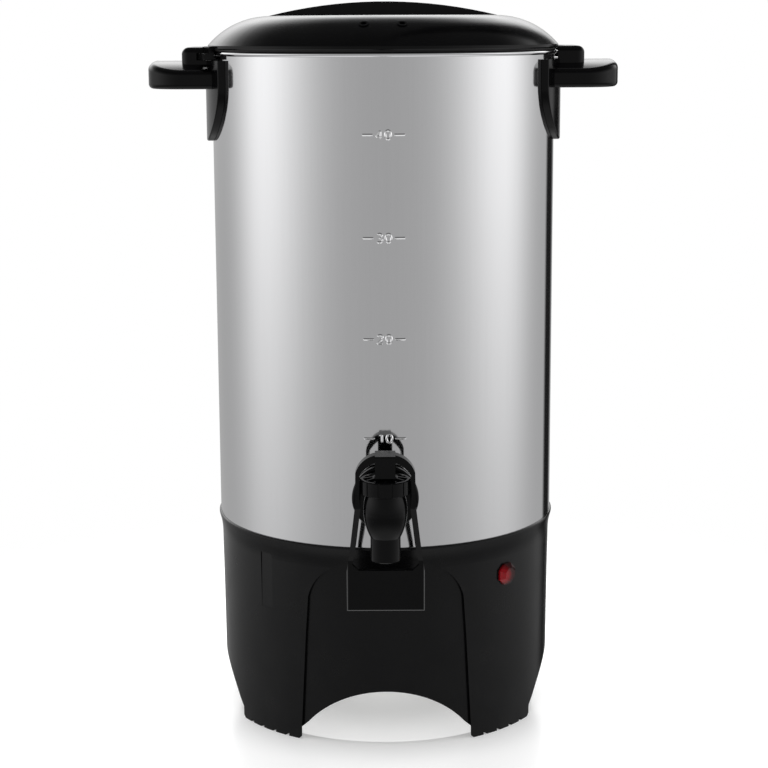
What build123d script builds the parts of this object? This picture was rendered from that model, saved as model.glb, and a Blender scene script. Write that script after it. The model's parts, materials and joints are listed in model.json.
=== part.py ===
from build123d import *
import os
from math import atan2, cos, radians, sin, sqrt

# Percolating coffee urn. Z is up, the floor is Z = 0 and the tank's axis is the Z axis.
# The tap faces -Y and the handles stand along X. All lengths are in millimetres.

# ---- Fits
SEAT = 0.05  # a piece pressed or clamped against another
SLIP = 0.10  # a pin or stem that turns or slides in its hole
PLAY = 0.40  # pieces that pass each other

# ---- Tank: drawn steel wall with a rolled rim, a welded floor and a heating well
TANK_R = 95.0
STEEL = 0.8
WALL_H = 258.6  # from the top of the base to the centre of the rolled bead
BEAD_R = 1.2
FLOOR_LIFT = 6.5  # inside face of the tank's floor over the top of the base
FLOOR_BEND = 5.0
WELL_R = 27.0
WELL_DEPTH = 12.0
STUD_R = 3.0

# ---- Base: moulded skirt on four feet, closed from below by a cover
SKIRT_TOP = 112.5
FOOT_INSET = 1.8  # from the tank's wall in to the skirt's, at the floor
NECK_INSET = 0.8  # and where the flare begins
SKIRT_WALL = 3.2
LIP_PROUD = 0.9
LIP_H = 12.5  # height over which the wall flares out to the lip
LIP_BEVEL = 0.4
LEDGE_DEPTH = 4.5  # the tank's wall stands on this ledge
LEDGE_T = 3.0
LEDGE_W = 2.5
ARCH_TOP = 31.0
ARCH_SHOULDER = 10.5
ARCH_HALF = 46.5
ARCH_CORNER = 4.0
FOOT_EASE = 1.6
PANEL_DROP = 3.9
PANEL_HALF = 43.6
PANEL_DEPTH = 1.5
PANEL_CROWN = 9.0  # from the outline's top down to its shoulders
PANEL_SHOULDER = 0.68  # half width at the shoulders, as a share of PANEL_HALF
PANEL_BEND = 17.6
PANEL_SIDE = 26.0
PANEL_LOW = 48.0
WINDOW_AZ = -44.0
WINDOW_W = 8.6
WINDOW_H = 31.0
WINDOW_DROP = 10.0
WINDOW_DEPTH = 0.5
NOTCH_W = 2.4
NOTCH_H = 1.5
NOTCH_STEP = 6.0  # degrees between the notches under a foot
COVER_RISE = 2.0  # over the top of the arches
COVER_T = 1.6
SLOT_L = 22.0  # air slots in the cover
SLOT_W = 3.0
SLOT_PITCH_R = 40.0
SLOT_COUNT = 8
BOSS_R = 4.5
BOSS_INSET = 17.0
BOSS_AZ = 60.0
BOSS_WEB = 2.2
SCREW_R = 1.75
SCREW_L = 12.0
SCREW_HEAD_R = 3.6
SCREW_HEAD_H = 2.2
CROSS_L = 3.8  # cross recess in a screw's head
CROSS_W = 0.9
CROSS_DEPTH = 1.2

# ---- Heaters and controls under the tank
BREW_T = 5.0
BREW_H = 11.0
WARM_R = 3.1
WARM_GAP = 4.4
SPIDER_T = 1.2
SPIDER_ARM_W = 10.0
SPIDER_AZ = 30.0
THERMOSTAT_R = 8.5
THERMOSTAT_GAP = 4.65
FUSE_R = 2.2
FUSE_L = 18.0
NUT_AF = 10.0
NUT_H = 5.0
BLOCK_W = 30.0
BLOCK_D = 12.0
BLOCK_H = 11.0
BLOCK_INSET = 33.0
LEAD_R = 1.2

# ---- Signal lamp and cord gland in the skirt
LAMP_AZ = 44.5
LAMP_DROP = 22.5
LAMP_HEAD_R = 6.45
LAMP_HEAD_H = 3.4
LAMP_GIRDLE_H = 1.2
LAMP_TABLE_R = 3.9
LAMP_SIDES = 8
LAMP_BARREL_R = 5.0
LAMP_LENGTH = 14.0
NEON_R = 2.6
GLAND_Z = 50.0
GLAND_R = 10.0
GLAND_NECK_R = 7.0
GLAND_BORE_R = 3.6
GLAND_LENGTH = 14.0

# ---- Handles, each with a bayonet hook for the lid
GRIP_REACH = 34.0
GRIP_DROP = 18.9  # from the bead's centre down to the grip's underside
GRIP_H = 14.8
GRIP_CROWN = 5.3  # how far the top falls from its middle to the front and the back
GRIP_HALF = 34.0
GRIP_CORNER = 21.0
GRIP_ROUND = 3.6
GRIP_SOLE_ROUND = 2.6
HOLLOW_DEPTH = 8.6
GRIP_WALL = 4.2
GRIP_ROOT_T = 8.5
BRACKET_DROP = 47.7
BRACKET_T = 3.4
BRACKET_HALF = 43.4
BRACKET_CORNER = 31.4
BRACKET_ROUND = 1.0
HOOK_REACH = 15.3
HOOK_HALF = 20.0
HOOK_RISE = 3.4
HOOK_ARM = 3.0
HOOK_CORNER = 4.6
HOOK_ROUND = 3.8
HANDLE_SCREW_AZ = 9.0
HANDLE_SCREW_DROP = 12.9
HANDLE_SCREW_L = 9.0

# ---- Lid: domed moulding with two ears, a finger recess and a grip bar
LID_LAP = 2.0  # over the tank's wall
LID_WALL = 2.5
LID_EDGE_H = 2.0
LID_EASE = 0.5
DOME_H = 15.7
RECESS_R = 62.8
RECESS_DEPTH = 16.5
RECESS_DRAFT = 5.0
PLUG_GAP = 0.6
PLUG_H = 8.9
BAR_RISE = 7.6
BAR_END_DROP = 0.1
BAR_W = 18.0
SEAL_T = 0.9
SEAL_W = 2.4
EAR_LAP = 0.1
EAR_REACH = 2.7
TONGUE_REACH = 6.0
TONGUE_T = 3.2
EAR_AZ0 = 12.2  # from the handle's axis to the near end of the ear
EAR_SPAN = 7.8
LOCK_ANGLE = 18.0
VENT_R = 1.5
VENT_INSET = 14.0
VENT_AZ = 6.8
VENT_RIM = 1.1

# ---- Tap: moulded body through the wall, screwed bonnet, sprung stem and cup lever
TAP_REACH = 25.0
SHANK_LIFT = 22.0  # over the tank's floor
SHANK_R = 7.7
THREAD_R = 9.8
SHANK_BORE_R = 6.0
THREAD_L = 17.0  # inwards from the tank's wall
THREAD_PITCH = 1.8
THREAD_DEPTH = 0.7
THREAD_GROOVES = 4
FLANGE_R = 17.7
FLANGE_T = 3.6
WASHER_R = 15.5
WASHER_T = 2.0
TAP_NUT_R = 15.0
TAP_NUT_T = 6.0
SPOUT_DROP = 27.8  # from the shank's axis
SPOUT_R = 7.8
THROAT_R = 5.2
SEAT_DROP = 9.0
BELL_R = 11.35
BELL_DROP = 2.0  # where the bell is widest
BELL_NECK_R = 7.9
BELL_NECK_DROP = 15.2
BELL_LIP_R = 10.2
CHAMBER_R = 8.2
BODY_RISE = 11.4
BONNET_R = 13.0
BONNET_LAP = 3.4
BONNET_H = 7.8
CONE_R = 6.2
CONE_H = 1.2
RIB_COUNT = 12
RIB_T = 1.0
GROOVE_DEPTH = 0.35
STEM_R = 3.0
STEM_OVER = 2.6  # above the pin
PIN_RISE = 6.6
PIN_R = 1.5
CUP_R = 7.4
CUP_H = 6.0
COLLAR_R = 5.8
COLLAR_T = 1.5
SPRING_WIRE = 0.9
SPRING_TURNS = 6
STEM_LIFT = 1.4  # how far a full push raises the stem
HEEL_GAP = 0.3
YOKE_RISE = 5.1
YOKE_HALF = 15.6
YOKE_D = 7.0
ARM_W = 2.1  # beside the bonnet
LOW_ARM_W = 3.0  # below it
HUB_HALF = 5.25
HUB_D = 16.0
HUB_ROUND = 0.9
ARCH_W = 3.4
PADDLE_HALF = 20.5
PADDLE_GAP = 8.1  # from the spout's mouth down to the window's lower edge
PADDLE_H = 22.3
PADDLE_T = 2.6
PADDLE_ROUND = 0.6
PADDLE_BACK = 10.0

# ---- Percolator: pump foot, tube, flutter disc, basket and its cover
TUBE_R = 5.0
TUBE_BORE_R = 4.3
TUBE_DROP = 5.1
FOOT_GAP = 3.0
FOOT_H = 17.0
FOOT_T = 1.2
STOP_R = 7.5
STOP_T = 1.6
DISC_R = 7.0
DISC_T = 0.8
BASKET_DROP = 39.1
BASKET_GAP = 19.2
BASKET_H = 29.0
SHEET = 1.0
SLEEVE_T = 1.2
COVER_GAP = 1.0
COVER_SINK = 6.0
DISH_R = 20.0  # flat middle of the basket's cover
DISH_RUN = 4.0
HOLE_R = 1.6

# ---- Sizes that follow from the ones above
TANK_IN_R = TANK_R - STEEL
RIM_Z = SKIRT_TOP + WALL_H
FLOOR_Z = SKIRT_TOP + FLOOR_LIFT
WELL_Z = FLOOR_Z - WELL_DEPTH
UNDER_FLOOR = FLOOR_Z - STEEL
UNDER_WELL = WELL_Z - STEEL
SKIRT_FOOT_R = TANK_R - FOOT_INSET
SKIRT_NECK_R = TANK_R - NECK_INSET
LIP_R = TANK_R + SEAT + LIP_PROUD
LEDGE_Z = SKIRT_TOP - LEDGE_DEPTH
PANEL_TOP = SKIRT_TOP - PANEL_DROP
WINDOW_Z1 = SKIRT_TOP - WINDOW_DROP
WINDOW_Z0 = WINDOW_Z1 - WINDOW_H
COVER_Z = ARCH_TOP + COVER_RISE
BOSS_PITCH_R = TANK_R - BOSS_INSET
BREW_R = WELL_R + STEEL + SEAT  # inside face of the brewing heater
THERMOSTAT_PITCH_R = BREW_R + BREW_T + THERMOSTAT_GAP + THERMOSTAT_R
WARM_PITCH_R = THERMOSTAT_PITCH_R + THERMOSTAT_R + WARM_GAP + WARM_R
BLOCK_Y = TANK_R - BLOCK_INSET
LAMP_Z = SKIRT_TOP - LAMP_DROP
STUD_END = COVER_Z - NUT_H - 1.0
SEAL_Z = RIM_Z + BEAD_R + 0.2
FLANGE_Z = SEAL_Z + SEAL_T
GRIP_TIP = TANK_R + GRIP_REACH
GRIP_Z0 = RIM_Z - GRIP_DROP
GRIP_Z1 = GRIP_Z0 + GRIP_H
GRIP_SIDE_Z = GRIP_Z1 - GRIP_CROWN
GRIP_ROOT = TANK_R + GRIP_ROOT_T
BRACKET_Z0 = RIM_Z - BRACKET_DROP
HOOK_OUT = TANK_R + HOOK_REACH
HOOK_TOP = RIM_Z + HOOK_RISE
POCKET_Z = HOOK_TOP - HOOK_ARM - TONGUE_T - 2 * PLAY
HANDLE_SCREW_Z = RIM_Z - HANDLE_SCREW_DROP
LID_R = TANK_R + LID_LAP
PLUG_R = TANK_IN_R - PLUG_GAP
PLUG_Z = FLANGE_Z - PLUG_H
DOME_TOP = FLANGE_Z + LID_EDGE_H + DOME_H
RECESS_Z = DOME_TOP - RECESS_DEPTH
RECESS_FLOOR_R = RECESS_R - RECESS_DRAFT
BAR_TOP = DOME_TOP + BAR_RISE
BAR_END_Z = DOME_TOP - BAR_END_DROP
EAR_IN = LID_R - EAR_LAP
EAR_OUT = LID_R + EAR_REACH
TONGUE_OUT = LID_R + TONGUE_REACH
VENT_PITCH_R = LID_R - VENT_INSET
TAP_Y = -TANK_R - TAP_REACH
THREAD_END_Y = -TANK_R + THREAD_L
SHANK_Z = FLOOR_Z + SHANK_LIFT
SPOUT_Z = SHANK_Z - SPOUT_DROP
SEAT_Z = SHANK_Z - SEAT_DROP
BELL_Z = SHANK_Z - BELL_DROP
BELL_NECK_Z = SHANK_Z - BELL_NECK_DROP
BODY_TOP = SHANK_Z + BODY_RISE
BONNET_Z0 = BODY_TOP - BONNET_LAP
BONNET_Z1 = BONNET_Z0 + BONNET_H
CONE_TOP = BONNET_Z1 + CONE_H
HEEL_Z = CONE_TOP + HEEL_GAP
PIN_Z = CONE_TOP + PIN_RISE
STEM_TOP = PIN_Z + STEM_OVER
STEM_SWING = sqrt(STEM_R**2 + STEM_OVER**2)  # corner of the stem round the pin
YOKE_TOP = PIN_Z + YOKE_RISE
PADDLE_TOP = SPOUT_Z - PADDLE_GAP
PADDLE_Z = PADDLE_TOP - PADDLE_H
PADDLE_Y = TAP_Y + PADDLE_BACK
TUBE_TOP = RIM_Z - TUBE_DROP
FOOT_R = WELL_R - FOOT_GAP
BASKET_Z = RIM_Z - BASKET_DROP
BASKET_R = TANK_IN_R - BASKET_GAP
BASKET_TOP_Z = BASKET_Z + BASKET_H
SLEEVE_R = TUBE_R + PLAY + SLEEVE_T
BOSS_AZIMUTHS = (BOSS_AZ, 180 - BOSS_AZ, 180 + BOSS_AZ, 360 - BOSS_AZ)
SIDES = (0, 180)  # turns that place an ear on the right and on the left


def skirt_r(z):
    """Outer radius of the skirt's wall at a height."""
    return SKIRT_FOOT_R + (SKIRT_NECK_R - SKIRT_FOOT_R) * z / (SKIRT_TOP - LIP_H)


def around(azimuth, radius, z):
    """Plane on a vertical cylinder, facing outwards; azimuth 0 is the tap's side."""
    a = radians(azimuth)
    out = Vector(sin(a), -cos(a), 0)
    return Plane(origin=out * radius + Vector(0, 0, z), x_dir=(cos(a), sin(a), 0), z_dir=out)


# =============================================================== Tank
with BuildPart() as tank_shell:
    with BuildSketch(Plane.XZ):
        with BuildLine():
            Polyline(
                (0, WELL_Z),
                (WELL_R, WELL_Z),
                (WELL_R, FLOOR_Z),
                (TANK_IN_R - FLOOR_BEND, FLOOR_Z),
            )
            RadiusArc((TANK_IN_R - FLOOR_BEND, FLOOR_Z), (TANK_IN_R, FLOOR_Z + FLOOR_BEND), -FLOOR_BEND)
            Polyline(
                (TANK_IN_R, FLOOR_Z + FLOOR_BEND),
                (TANK_IN_R, RIM_Z),
                (TANK_R, RIM_Z),
                (TANK_R, LEDGE_Z + SEAT),
                (TANK_IN_R, LEDGE_Z + SEAT),
                (TANK_IN_R, UNDER_FLOOR),
                (WELL_R + STEEL, UNDER_FLOOR),
                (WELL_R + STEEL, UNDER_WELL),
                (0, UNDER_WELL),
                (0, WELL_Z),
            )
        make_face()
        with Locations((TANK_R, RIM_Z)):
            Circle(BEAD_R)
    revolve(axis=Axis.Z)
    with BuildSketch(around(0, TANK_IN_R - 10, SHANK_Z)):
        Circle(THREAD_R + SLIP)
    extrude(amount=20, mode=Mode.SUBTRACT)
    for side in (90, 270):
        for turn in (-HANDLE_SCREW_AZ, HANDLE_SCREW_AZ):
            with BuildSketch(around(side + turn, TANK_IN_R - 5, HANDLE_SCREW_Z)):
                Circle(SCREW_R + SLIP)
            extrude(amount=10, mode=Mode.SUBTRACT)

with BuildPart() as centre_stud:
    with BuildSketch(Plane.XY.offset(STUD_END)):
        Circle(STUD_R)
    extrude(amount=UNDER_WELL - STUD_END)
    chamfer(centre_stud.edges().sort_by(Axis.Z)[0], 0.6)

# =============================================================== Base
with BuildPart() as panel_recess:
    with BuildSketch(Plane.XZ.offset(SKIRT_FOOT_R * 0.6)):
        with BuildLine():
            corner_x = PANEL_SHOULDER * PANEL_HALF
            corner_z = PANEL_TOP - PANEL_CROWN
            side_z = PANEL_TOP - PANEL_SIDE
            foot_z = ARCH_SHOULDER - 4.0
            ThreePointArc((-corner_x, corner_z), (0, PANEL_TOP), (corner_x, corner_z))
            right = ThreePointArc(
                (corner_x, corner_z),
                (0.885 * PANEL_HALF, PANEL_TOP - PANEL_BEND),
                (0.965 * PANEL_HALF, side_z),
            )
            Polyline(
                right @ 1,
                (PANEL_HALF, PANEL_TOP - PANEL_LOW),
                (ARCH_HALF, foot_z),
                (-ARCH_HALF, foot_z),
                (-PANEL_HALF, PANEL_TOP - PANEL_LOW),
                (-0.965 * PANEL_HALF, side_z),
            )
            ThreePointArc(
                (-0.965 * PANEL_HALF, side_z),
                (-0.885 * PANEL_HALF, PANEL_TOP - PANEL_BEND),
                (-corner_x, corner_z),
            )
        make_face()
    extrude(amount=SKIRT_FOOT_R * 0.6)
    with BuildSketch(Plane.XZ):
        with BuildLine():
            Polyline(
                (0, -1),
                (skirt_r(-1) - PANEL_DEPTH, -1),
                (skirt_r(SKIRT_TOP) - PANEL_DEPTH, SKIRT_TOP),
                (0, SKIRT_TOP),
                close=True,
            )
        make_face()
    revolve(axis=Axis.Z, mode=Mode.SUBTRACT)

with BuildPart() as skirt_bosses:
    boss_h = LEDGE_Z - LEDGE_T - COVER_Z - COVER_T
    for az in BOSS_AZIMUTHS:
        place = around(az, BOSS_PITCH_R, COVER_Z + COVER_T)
        with BuildSketch(Plane(place.origin, x_dir=place.z_dir, z_dir=(0, 0, 1))):
            Circle(BOSS_R)
            with Locations(((skirt_r(LEDGE_Z) - BOSS_PITCH_R - 1) / 2, 0)):
                Rectangle(skirt_r(LEDGE_Z) - BOSS_PITCH_R - 1, BOSS_WEB)
        extrude(amount=boss_h + 1)

with BuildPart() as base_skirt:
    with BuildSketch(Plane.XZ):
        with BuildLine():
            Line((SKIRT_FOOT_R, 0), (SKIRT_NECK_R, SKIRT_TOP - LIP_H))
            ThreePointArc(
                (SKIRT_NECK_R, SKIRT_TOP - LIP_H),
                (SKIRT_NECK_R + 0.3 * (LIP_R - SKIRT_NECK_R), SKIRT_TOP - LIP_H / 2),
                (LIP_R, SKIRT_TOP - 3 * LIP_BEVEL),
            )
            Polyline(
                (LIP_R, SKIRT_TOP - 3 * LIP_BEVEL),
                (LIP_R, SKIRT_TOP - LIP_BEVEL),
                (LIP_R - LIP_BEVEL, SKIRT_TOP),
                (TANK_R + SEAT, SKIRT_TOP),
                (TANK_R + SEAT, LEDGE_Z),
                (TANK_IN_R - LEDGE_W, LEDGE_Z),
                (TANK_IN_R - LEDGE_W, LEDGE_Z - LEDGE_T),
                (SKIRT_NECK_R - SKIRT_WALL, LEDGE_Z - LEDGE_T - 3),
                (SKIRT_FOOT_R - SKIRT_WALL, 0),
                (SKIRT_FOOT_R, 0),
            )
        make_face()
    revolve(axis=Axis.Z)
    add(skirt_bosses.part)
    for wall in (Plane.XZ, Plane.YZ):
        with BuildSketch(wall):
            with BuildLine():
                Polyline(
                    (-ARCH_HALF + ARCH_CORNER, ARCH_SHOULDER),
                    (-ARCH_HALF, ARCH_SHOULDER - ARCH_CORNER),
                    (-ARCH_HALF, FOOT_EASE),
                    (-ARCH_HALF - FOOT_EASE, 0),
                    (-ARCH_HALF - FOOT_EASE, -1),
                    (ARCH_HALF + FOOT_EASE, -1),
                    (ARCH_HALF + FOOT_EASE, 0),
                    (ARCH_HALF, FOOT_EASE),
                    (ARCH_HALF, ARCH_SHOULDER - ARCH_CORNER),
                    (ARCH_HALF - ARCH_CORNER, ARCH_SHOULDER),
                )
                ThreePointArc(
                    (ARCH_HALF - ARCH_CORNER, ARCH_SHOULDER),
                    (0, ARCH_TOP),
                    (-ARCH_HALF + ARCH_CORNER, ARCH_SHOULDER),
                )
            make_face()
        extrude(amount=SKIRT_FOOT_R + 10, both=True, mode=Mode.SUBTRACT)
    add(panel_recess.part, mode=Mode.SUBTRACT)
    # switch window outline, a shallow blind recess
    with BuildSketch(around(WINDOW_AZ, skirt_r(WINDOW_Z1) - WINDOW_DEPTH, (WINDOW_Z0 + WINDOW_Z1) / 2)):
        RectangleRounded(WINDOW_W, WINDOW_Z1 - WINDOW_Z0, 1.0)
    extrude(amount=5, mode=Mode.SUBTRACT)
    # lamp hole, gland hole and screw holes
    with BuildSketch(around(LAMP_AZ, skirt_r(LAMP_Z) - 10, LAMP_Z)):
        Circle(LAMP_BARREL_R + SLIP)
    extrude(amount=20, mode=Mode.SUBTRACT)
    with BuildSketch(around(180, skirt_r(GLAND_Z) - 10, GLAND_Z)):
        Circle(GLAND_NECK_R + SEAT)
    extrude(amount=20, mode=Mode.SUBTRACT)
    for az in BOSS_AZIMUTHS:
        with BuildSketch(Plane(around(az, BOSS_PITCH_R, COVER_Z + COVER_T).origin)):
            Circle(SCREW_R + SEAT)
        extrude(amount=SCREW_L + 2, mode=Mode.SUBTRACT)
    # grip notches under the feet
    for foot in (45, 135, 225, 315):
        for step in (-1.5, -0.5, 0.5, 1.5):
            with BuildSketch(around(foot + step * NOTCH_STEP, SKIRT_FOOT_R - SKIRT_WALL - 2, 0)):
                Rectangle(NOTCH_W, 2 * NOTCH_H)
            extrude(amount=SKIRT_WALL + 4, mode=Mode.SUBTRACT)

with BuildPart() as bottom_cover:
    cover_r = skirt_r(COVER_Z) - SKIRT_WALL - PLAY
    with BuildSketch(Plane.XY.offset(COVER_Z)):
        Circle(cover_r)
        Circle(STUD_R + SLIP, mode=Mode.SUBTRACT)
        for az in BOSS_AZIMUTHS:
            with Locations(around(az, BOSS_PITCH_R, 0).origin):
                Circle(SCREW_R + SLIP, mode=Mode.SUBTRACT)
        with PolarLocations(SLOT_PITCH_R, SLOT_COUNT, start_angle=180 / SLOT_COUNT):
            SlotOverall(SLOT_L, SLOT_W, mode=Mode.SUBTRACT)
    extrude(amount=COVER_T)

with BuildPart() as cover_screws:
    for az in BOSS_AZIMUTHS:
        spot = around(az, BOSS_PITCH_R, COVER_Z).origin
        with BuildSketch(Plane(spot - Vector(0, 0, SCREW_HEAD_H))):
            Circle(SCREW_HEAD_R)
        extrude(amount=SCREW_HEAD_H)
        with BuildSketch(Plane(spot)):
            Circle(SCREW_R)
        extrude(amount=COVER_T + SCREW_L)
        with BuildSketch(Plane(spot - Vector(0, 0, SCREW_HEAD_H))):
            Rectangle(CROSS_L, CROSS_W)
            Rectangle(CROSS_W, CROSS_L)
        extrude(amount=CROSS_DEPTH, mode=Mode.SUBTRACT)

with BuildPart() as centre_nut:
    with BuildSketch(Plane.XY.offset(COVER_Z - NUT_H)):
        RegularPolygon(NUT_AF / 2, 6, major_radius=False)
        Circle(STUD_R + SEAT, mode=Mode.SUBTRACT)
    extrude(amount=NUT_H)

# =============================================================== Heaters and controls
spider_low = UNDER_WELL - PLAY - SPIDER_T
warm_z = UNDER_FLOOR - SEAT - WARM_R
spider_high = warm_z - WARM_R - SEAT - SPIDER_T
riser_r = BREW_R + BREW_T + 5

with BuildPart() as spider_arm:
    with BuildSketch(Plane.XZ):
        with BuildLine():
            Polyline(
                (WELL_R / 3, spider_low),
                (riser_r + SPIDER_T, spider_low),
                (riser_r + SPIDER_T, spider_high),
                (WARM_PITCH_R + WARM_R, spider_high),
                (WARM_PITCH_R + WARM_R, spider_high + SPIDER_T),
                (riser_r, spider_high + SPIDER_T),
                (riser_r, spider_low + SPIDER_T),
                (WELL_R / 3, spider_low + SPIDER_T),
                close=True,
            )
        make_face()
    extrude(amount=SPIDER_ARM_W / 2, both=True)

with BuildPart() as heater_spider:
    with BuildSketch(Plane.XY.offset(spider_low)):
        Circle(WELL_R / 2)
        Circle(STUD_R + SLIP, mode=Mode.SUBTRACT)
    extrude(amount=SPIDER_T)
    with PolarLocations(0, 4, start_angle=SPIDER_AZ):
        add(spider_arm.part)

with BuildPart() as spider_nut:
    with BuildSketch(Plane.XY.offset(spider_low - NUT_H)):
        RegularPolygon(NUT_AF / 2, 6, major_radius=False)
        Circle(STUD_R + SEAT, mode=Mode.SUBTRACT)
    extrude(amount=NUT_H)

with BuildPart() as brew_heater:
    with BuildSketch(Plane.XY.offset(spider_low + SPIDER_T + SEAT)):
        Circle(BREW_R + BREW_T)
        Circle(BREW_R, mode=Mode.SUBTRACT)
        with Locations((-BREW_R, 0)):
            Rectangle(2 * BREW_T + 4, 3, mode=Mode.SUBTRACT)
    extrude(amount=BREW_H)
    for turn in (75, 165):
        with BuildSketch(around(turn, BREW_R + BREW_T / 2, 0).offset(-0.4)):
            with Locations((0, spider_low + SPIDER_T - 4)):
                Rectangle(6.3, 9)
        extrude(amount=0.8)

with BuildPart() as warm_heater:
    with BuildSketch(Plane.XZ):
        with Locations((WARM_PITCH_R, warm_z)):
            Circle(WARM_R)
    revolve(axis=Axis.Z, revolution_arc=330)

with BuildPart() as thermostat:
    seat = Vector(THERMOSTAT_PITCH_R, 0, spider_high + SPIDER_T + SEAT).rotate(Axis.Z, SPIDER_AZ)
    body_h = UNDER_FLOOR - SEAT - seat.Z
    with BuildSketch(Plane(seat)):
        Circle(THERMOSTAT_R)
    extrude(amount=body_h)
    with BuildSketch(Plane(seat, x_dir=Vector(0, 1, 0).rotate(Axis.Z, SPIDER_AZ), z_dir=(0, 0, 1))):
        Rectangle(2 * THERMOSTAT_R + 12, 6)
    extrude(amount=0.8)

with BuildPart() as thermal_fuse:
    fuse_spot = Vector(THERMOSTAT_PITCH_R, 0, spider_high + SPIDER_T + SEAT + FUSE_R)
    fuse_spot = fuse_spot.rotate(Axis.Z, SPIDER_AZ + 180)
    along = Vector(0, 1, 0).rotate(Axis.Z, SPIDER_AZ)
    with BuildSketch(Plane(fuse_spot, x_dir=(0, 0, 1), z_dir=along)):
        Circle(FUSE_R)
    extrude(amount=FUSE_L / 2, both=True)
    with BuildSketch(Plane(fuse_spot, x_dir=(0, 0, 1), z_dir=along)):
        Circle(0.5)
    extrude(amount=FUSE_L / 2 + 8, both=True)

with BuildPart() as terminal_block:
    with BuildSketch(Plane.XY.offset(COVER_Z + COVER_T)):
        with Locations((0, BLOCK_Y)):
            Rectangle(BLOCK_W, BLOCK_D)
    extrude(amount=BLOCK_H)
    fillet(terminal_block.edges().filter_by(Axis.Z), 1.5)
    with BuildSketch(Plane.XZ.offset(-BLOCK_Y - BLOCK_D)):
        with GridLocations(BLOCK_W / 3, 1, 3, 1):
            with Locations((0, COVER_Z + COVER_T + BLOCK_H / 2)):
                Circle(LEAD_R + 0.8)
    extrude(amount=2 * BLOCK_D, mode=Mode.SUBTRACT)

# =============================================================== Lamp and gland
lamp_face = around(LAMP_AZ, skirt_r(LAMP_Z) + 2 * SEAT, LAMP_Z)
with BuildPart() as lamp_lens:
    with BuildSketch(lamp_face.offset(LAMP_BARREL_R - LAMP_LENGTH)):
        Circle(LAMP_BARREL_R)
    extrude(amount=LAMP_LENGTH - LAMP_BARREL_R)
    with BuildSketch(lamp_face):
        RegularPolygon(LAMP_HEAD_R, LAMP_SIDES, rotation=180 / LAMP_SIDES)
    extrude(amount=LAMP_GIRDLE_H)
    with BuildSketch(lamp_face.offset(LAMP_GIRDLE_H)):
        RegularPolygon(LAMP_HEAD_R, LAMP_SIDES, rotation=180 / LAMP_SIDES)
    with BuildSketch(lamp_face.offset(LAMP_HEAD_H)):
        RegularPolygon(LAMP_TABLE_R, LAMP_SIDES, rotation=180 / LAMP_SIDES)
    loft()
    with BuildSketch(lamp_face.offset(LAMP_BARREL_R - LAMP_LENGTH)):
        Circle(NEON_R + 0.3)
    extrude(amount=LAMP_LENGTH - LAMP_BARREL_R - 1, mode=Mode.SUBTRACT)

with BuildPart() as neon_bulb:
    with BuildSketch(lamp_face.offset(LAMP_BARREL_R - LAMP_LENGTH - 4)):
        Circle(NEON_R)
    extrude(amount=LAMP_LENGTH - LAMP_BARREL_R)
    fillet(neon_bulb.edges().filter_by(GeomType.CIRCLE), 1.5)

with BuildPart() as lamp_nut:
    with BuildSketch(lamp_face.offset(-SKIRT_WALL - 2.6)):
        Circle(LAMP_BARREL_R + 3)
        Circle(LAMP_BARREL_R + SEAT, mode=Mode.SUBTRACT)
    extrude(amount=2)

with BuildPart() as gland_groove:
    with BuildSketch(Plane.XZ.offset(-SKIRT_FOOT_R / 2)):
        with Locations((0, GLAND_Z)):
            Circle(GLAND_R + 5)
            Circle(GLAND_NECK_R, mode=Mode.SUBTRACT)
    extrude(amount=-SKIRT_FOOT_R)
    with BuildSketch(Plane.XY.offset(GLAND_Z - 3 * GLAND_R)):
        Circle(skirt_r(GLAND_Z) + 3 * SEAT)
        Circle(skirt_r(GLAND_Z) - SKIRT_WALL - 3 * SEAT, mode=Mode.SUBTRACT)
    extrude(amount=6 * GLAND_R, mode=Mode.INTERSECT)

with BuildPart() as cord_gland:
    gland_out = skirt_r(GLAND_Z) + 2.5
    with BuildSketch(around(180, gland_out, GLAND_Z)):
        Circle(GLAND_R)
    extrude(amount=-(SKIRT_WALL + 6))
    with BuildSketch(around(180, gland_out, GLAND_Z)):
        Circle(GLAND_NECK_R - 1)
    extrude(amount=GLAND_LENGTH - SKIRT_WALL - 6)
    add(gland_groove.part, mode=Mode.SUBTRACT)
    with BuildSketch(around(180, gland_out + GLAND_LENGTH, GLAND_Z)):
        Circle(GLAND_BORE_R)
    extrude(amount=-3 * GLAND_LENGTH, mode=Mode.SUBTRACT)

# =============================================================== Handles
with BuildPart() as handle_bore:
    # everything inside the tank's wall, the rolled bead and the lid's flange
    with BuildSketch(Plane.XY.offset(BRACKET_Z0 - 5)):
        Circle(TANK_R + 2 * SEAT)
    extrude(amount=HOOK_TOP - BRACKET_Z0 + 10)
    with BuildSketch(Plane.XY.offset(RIM_Z - BEAD_R - PLAY)):
        Circle(TANK_R + BEAD_R + PLAY)
    extrude(amount=10)
    with BuildSketch(Plane.XY.offset(POCKET_Z)):
        Circle(LID_R + PLAY)
    extrude(amount=HOOK_TOP - POCKET_Z + 5)

with BuildPart() as handle_bracket:
    # flange that hugs the wall, cut to its round-cornered outline seen from the side
    with BuildSketch(Plane.YZ.offset(TANK_R / 2)) as bracket_outline:
        with Locations((0, (BRACKET_Z0 + POCKET_Z) / 2)):
            Rectangle(2 * BRACKET_HALF, POCKET_Z - BRACKET_Z0)
        fillet(bracket_outline.vertices().group_by(Axis.Y)[0], BRACKET_CORNER)
    extrude(amount=TANK_R)
    with BuildSketch(Plane.XY.offset(BRACKET_Z0 - 5)):
        Circle(TANK_R + 2 * SEAT + BRACKET_T)
    extrude(amount=HOOK_TOP - BRACKET_Z0 + 10, mode=Mode.INTERSECT)
    bracket_front = handle_bracket.faces().filter_by(GeomType.CYLINDER).sort_by(SortBy.AREA)[-1]
    fillet(bracket_front.edges().filter_by(lambda e: e.center().Z < POCKET_Z - 1), BRACKET_ROUND)

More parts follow.
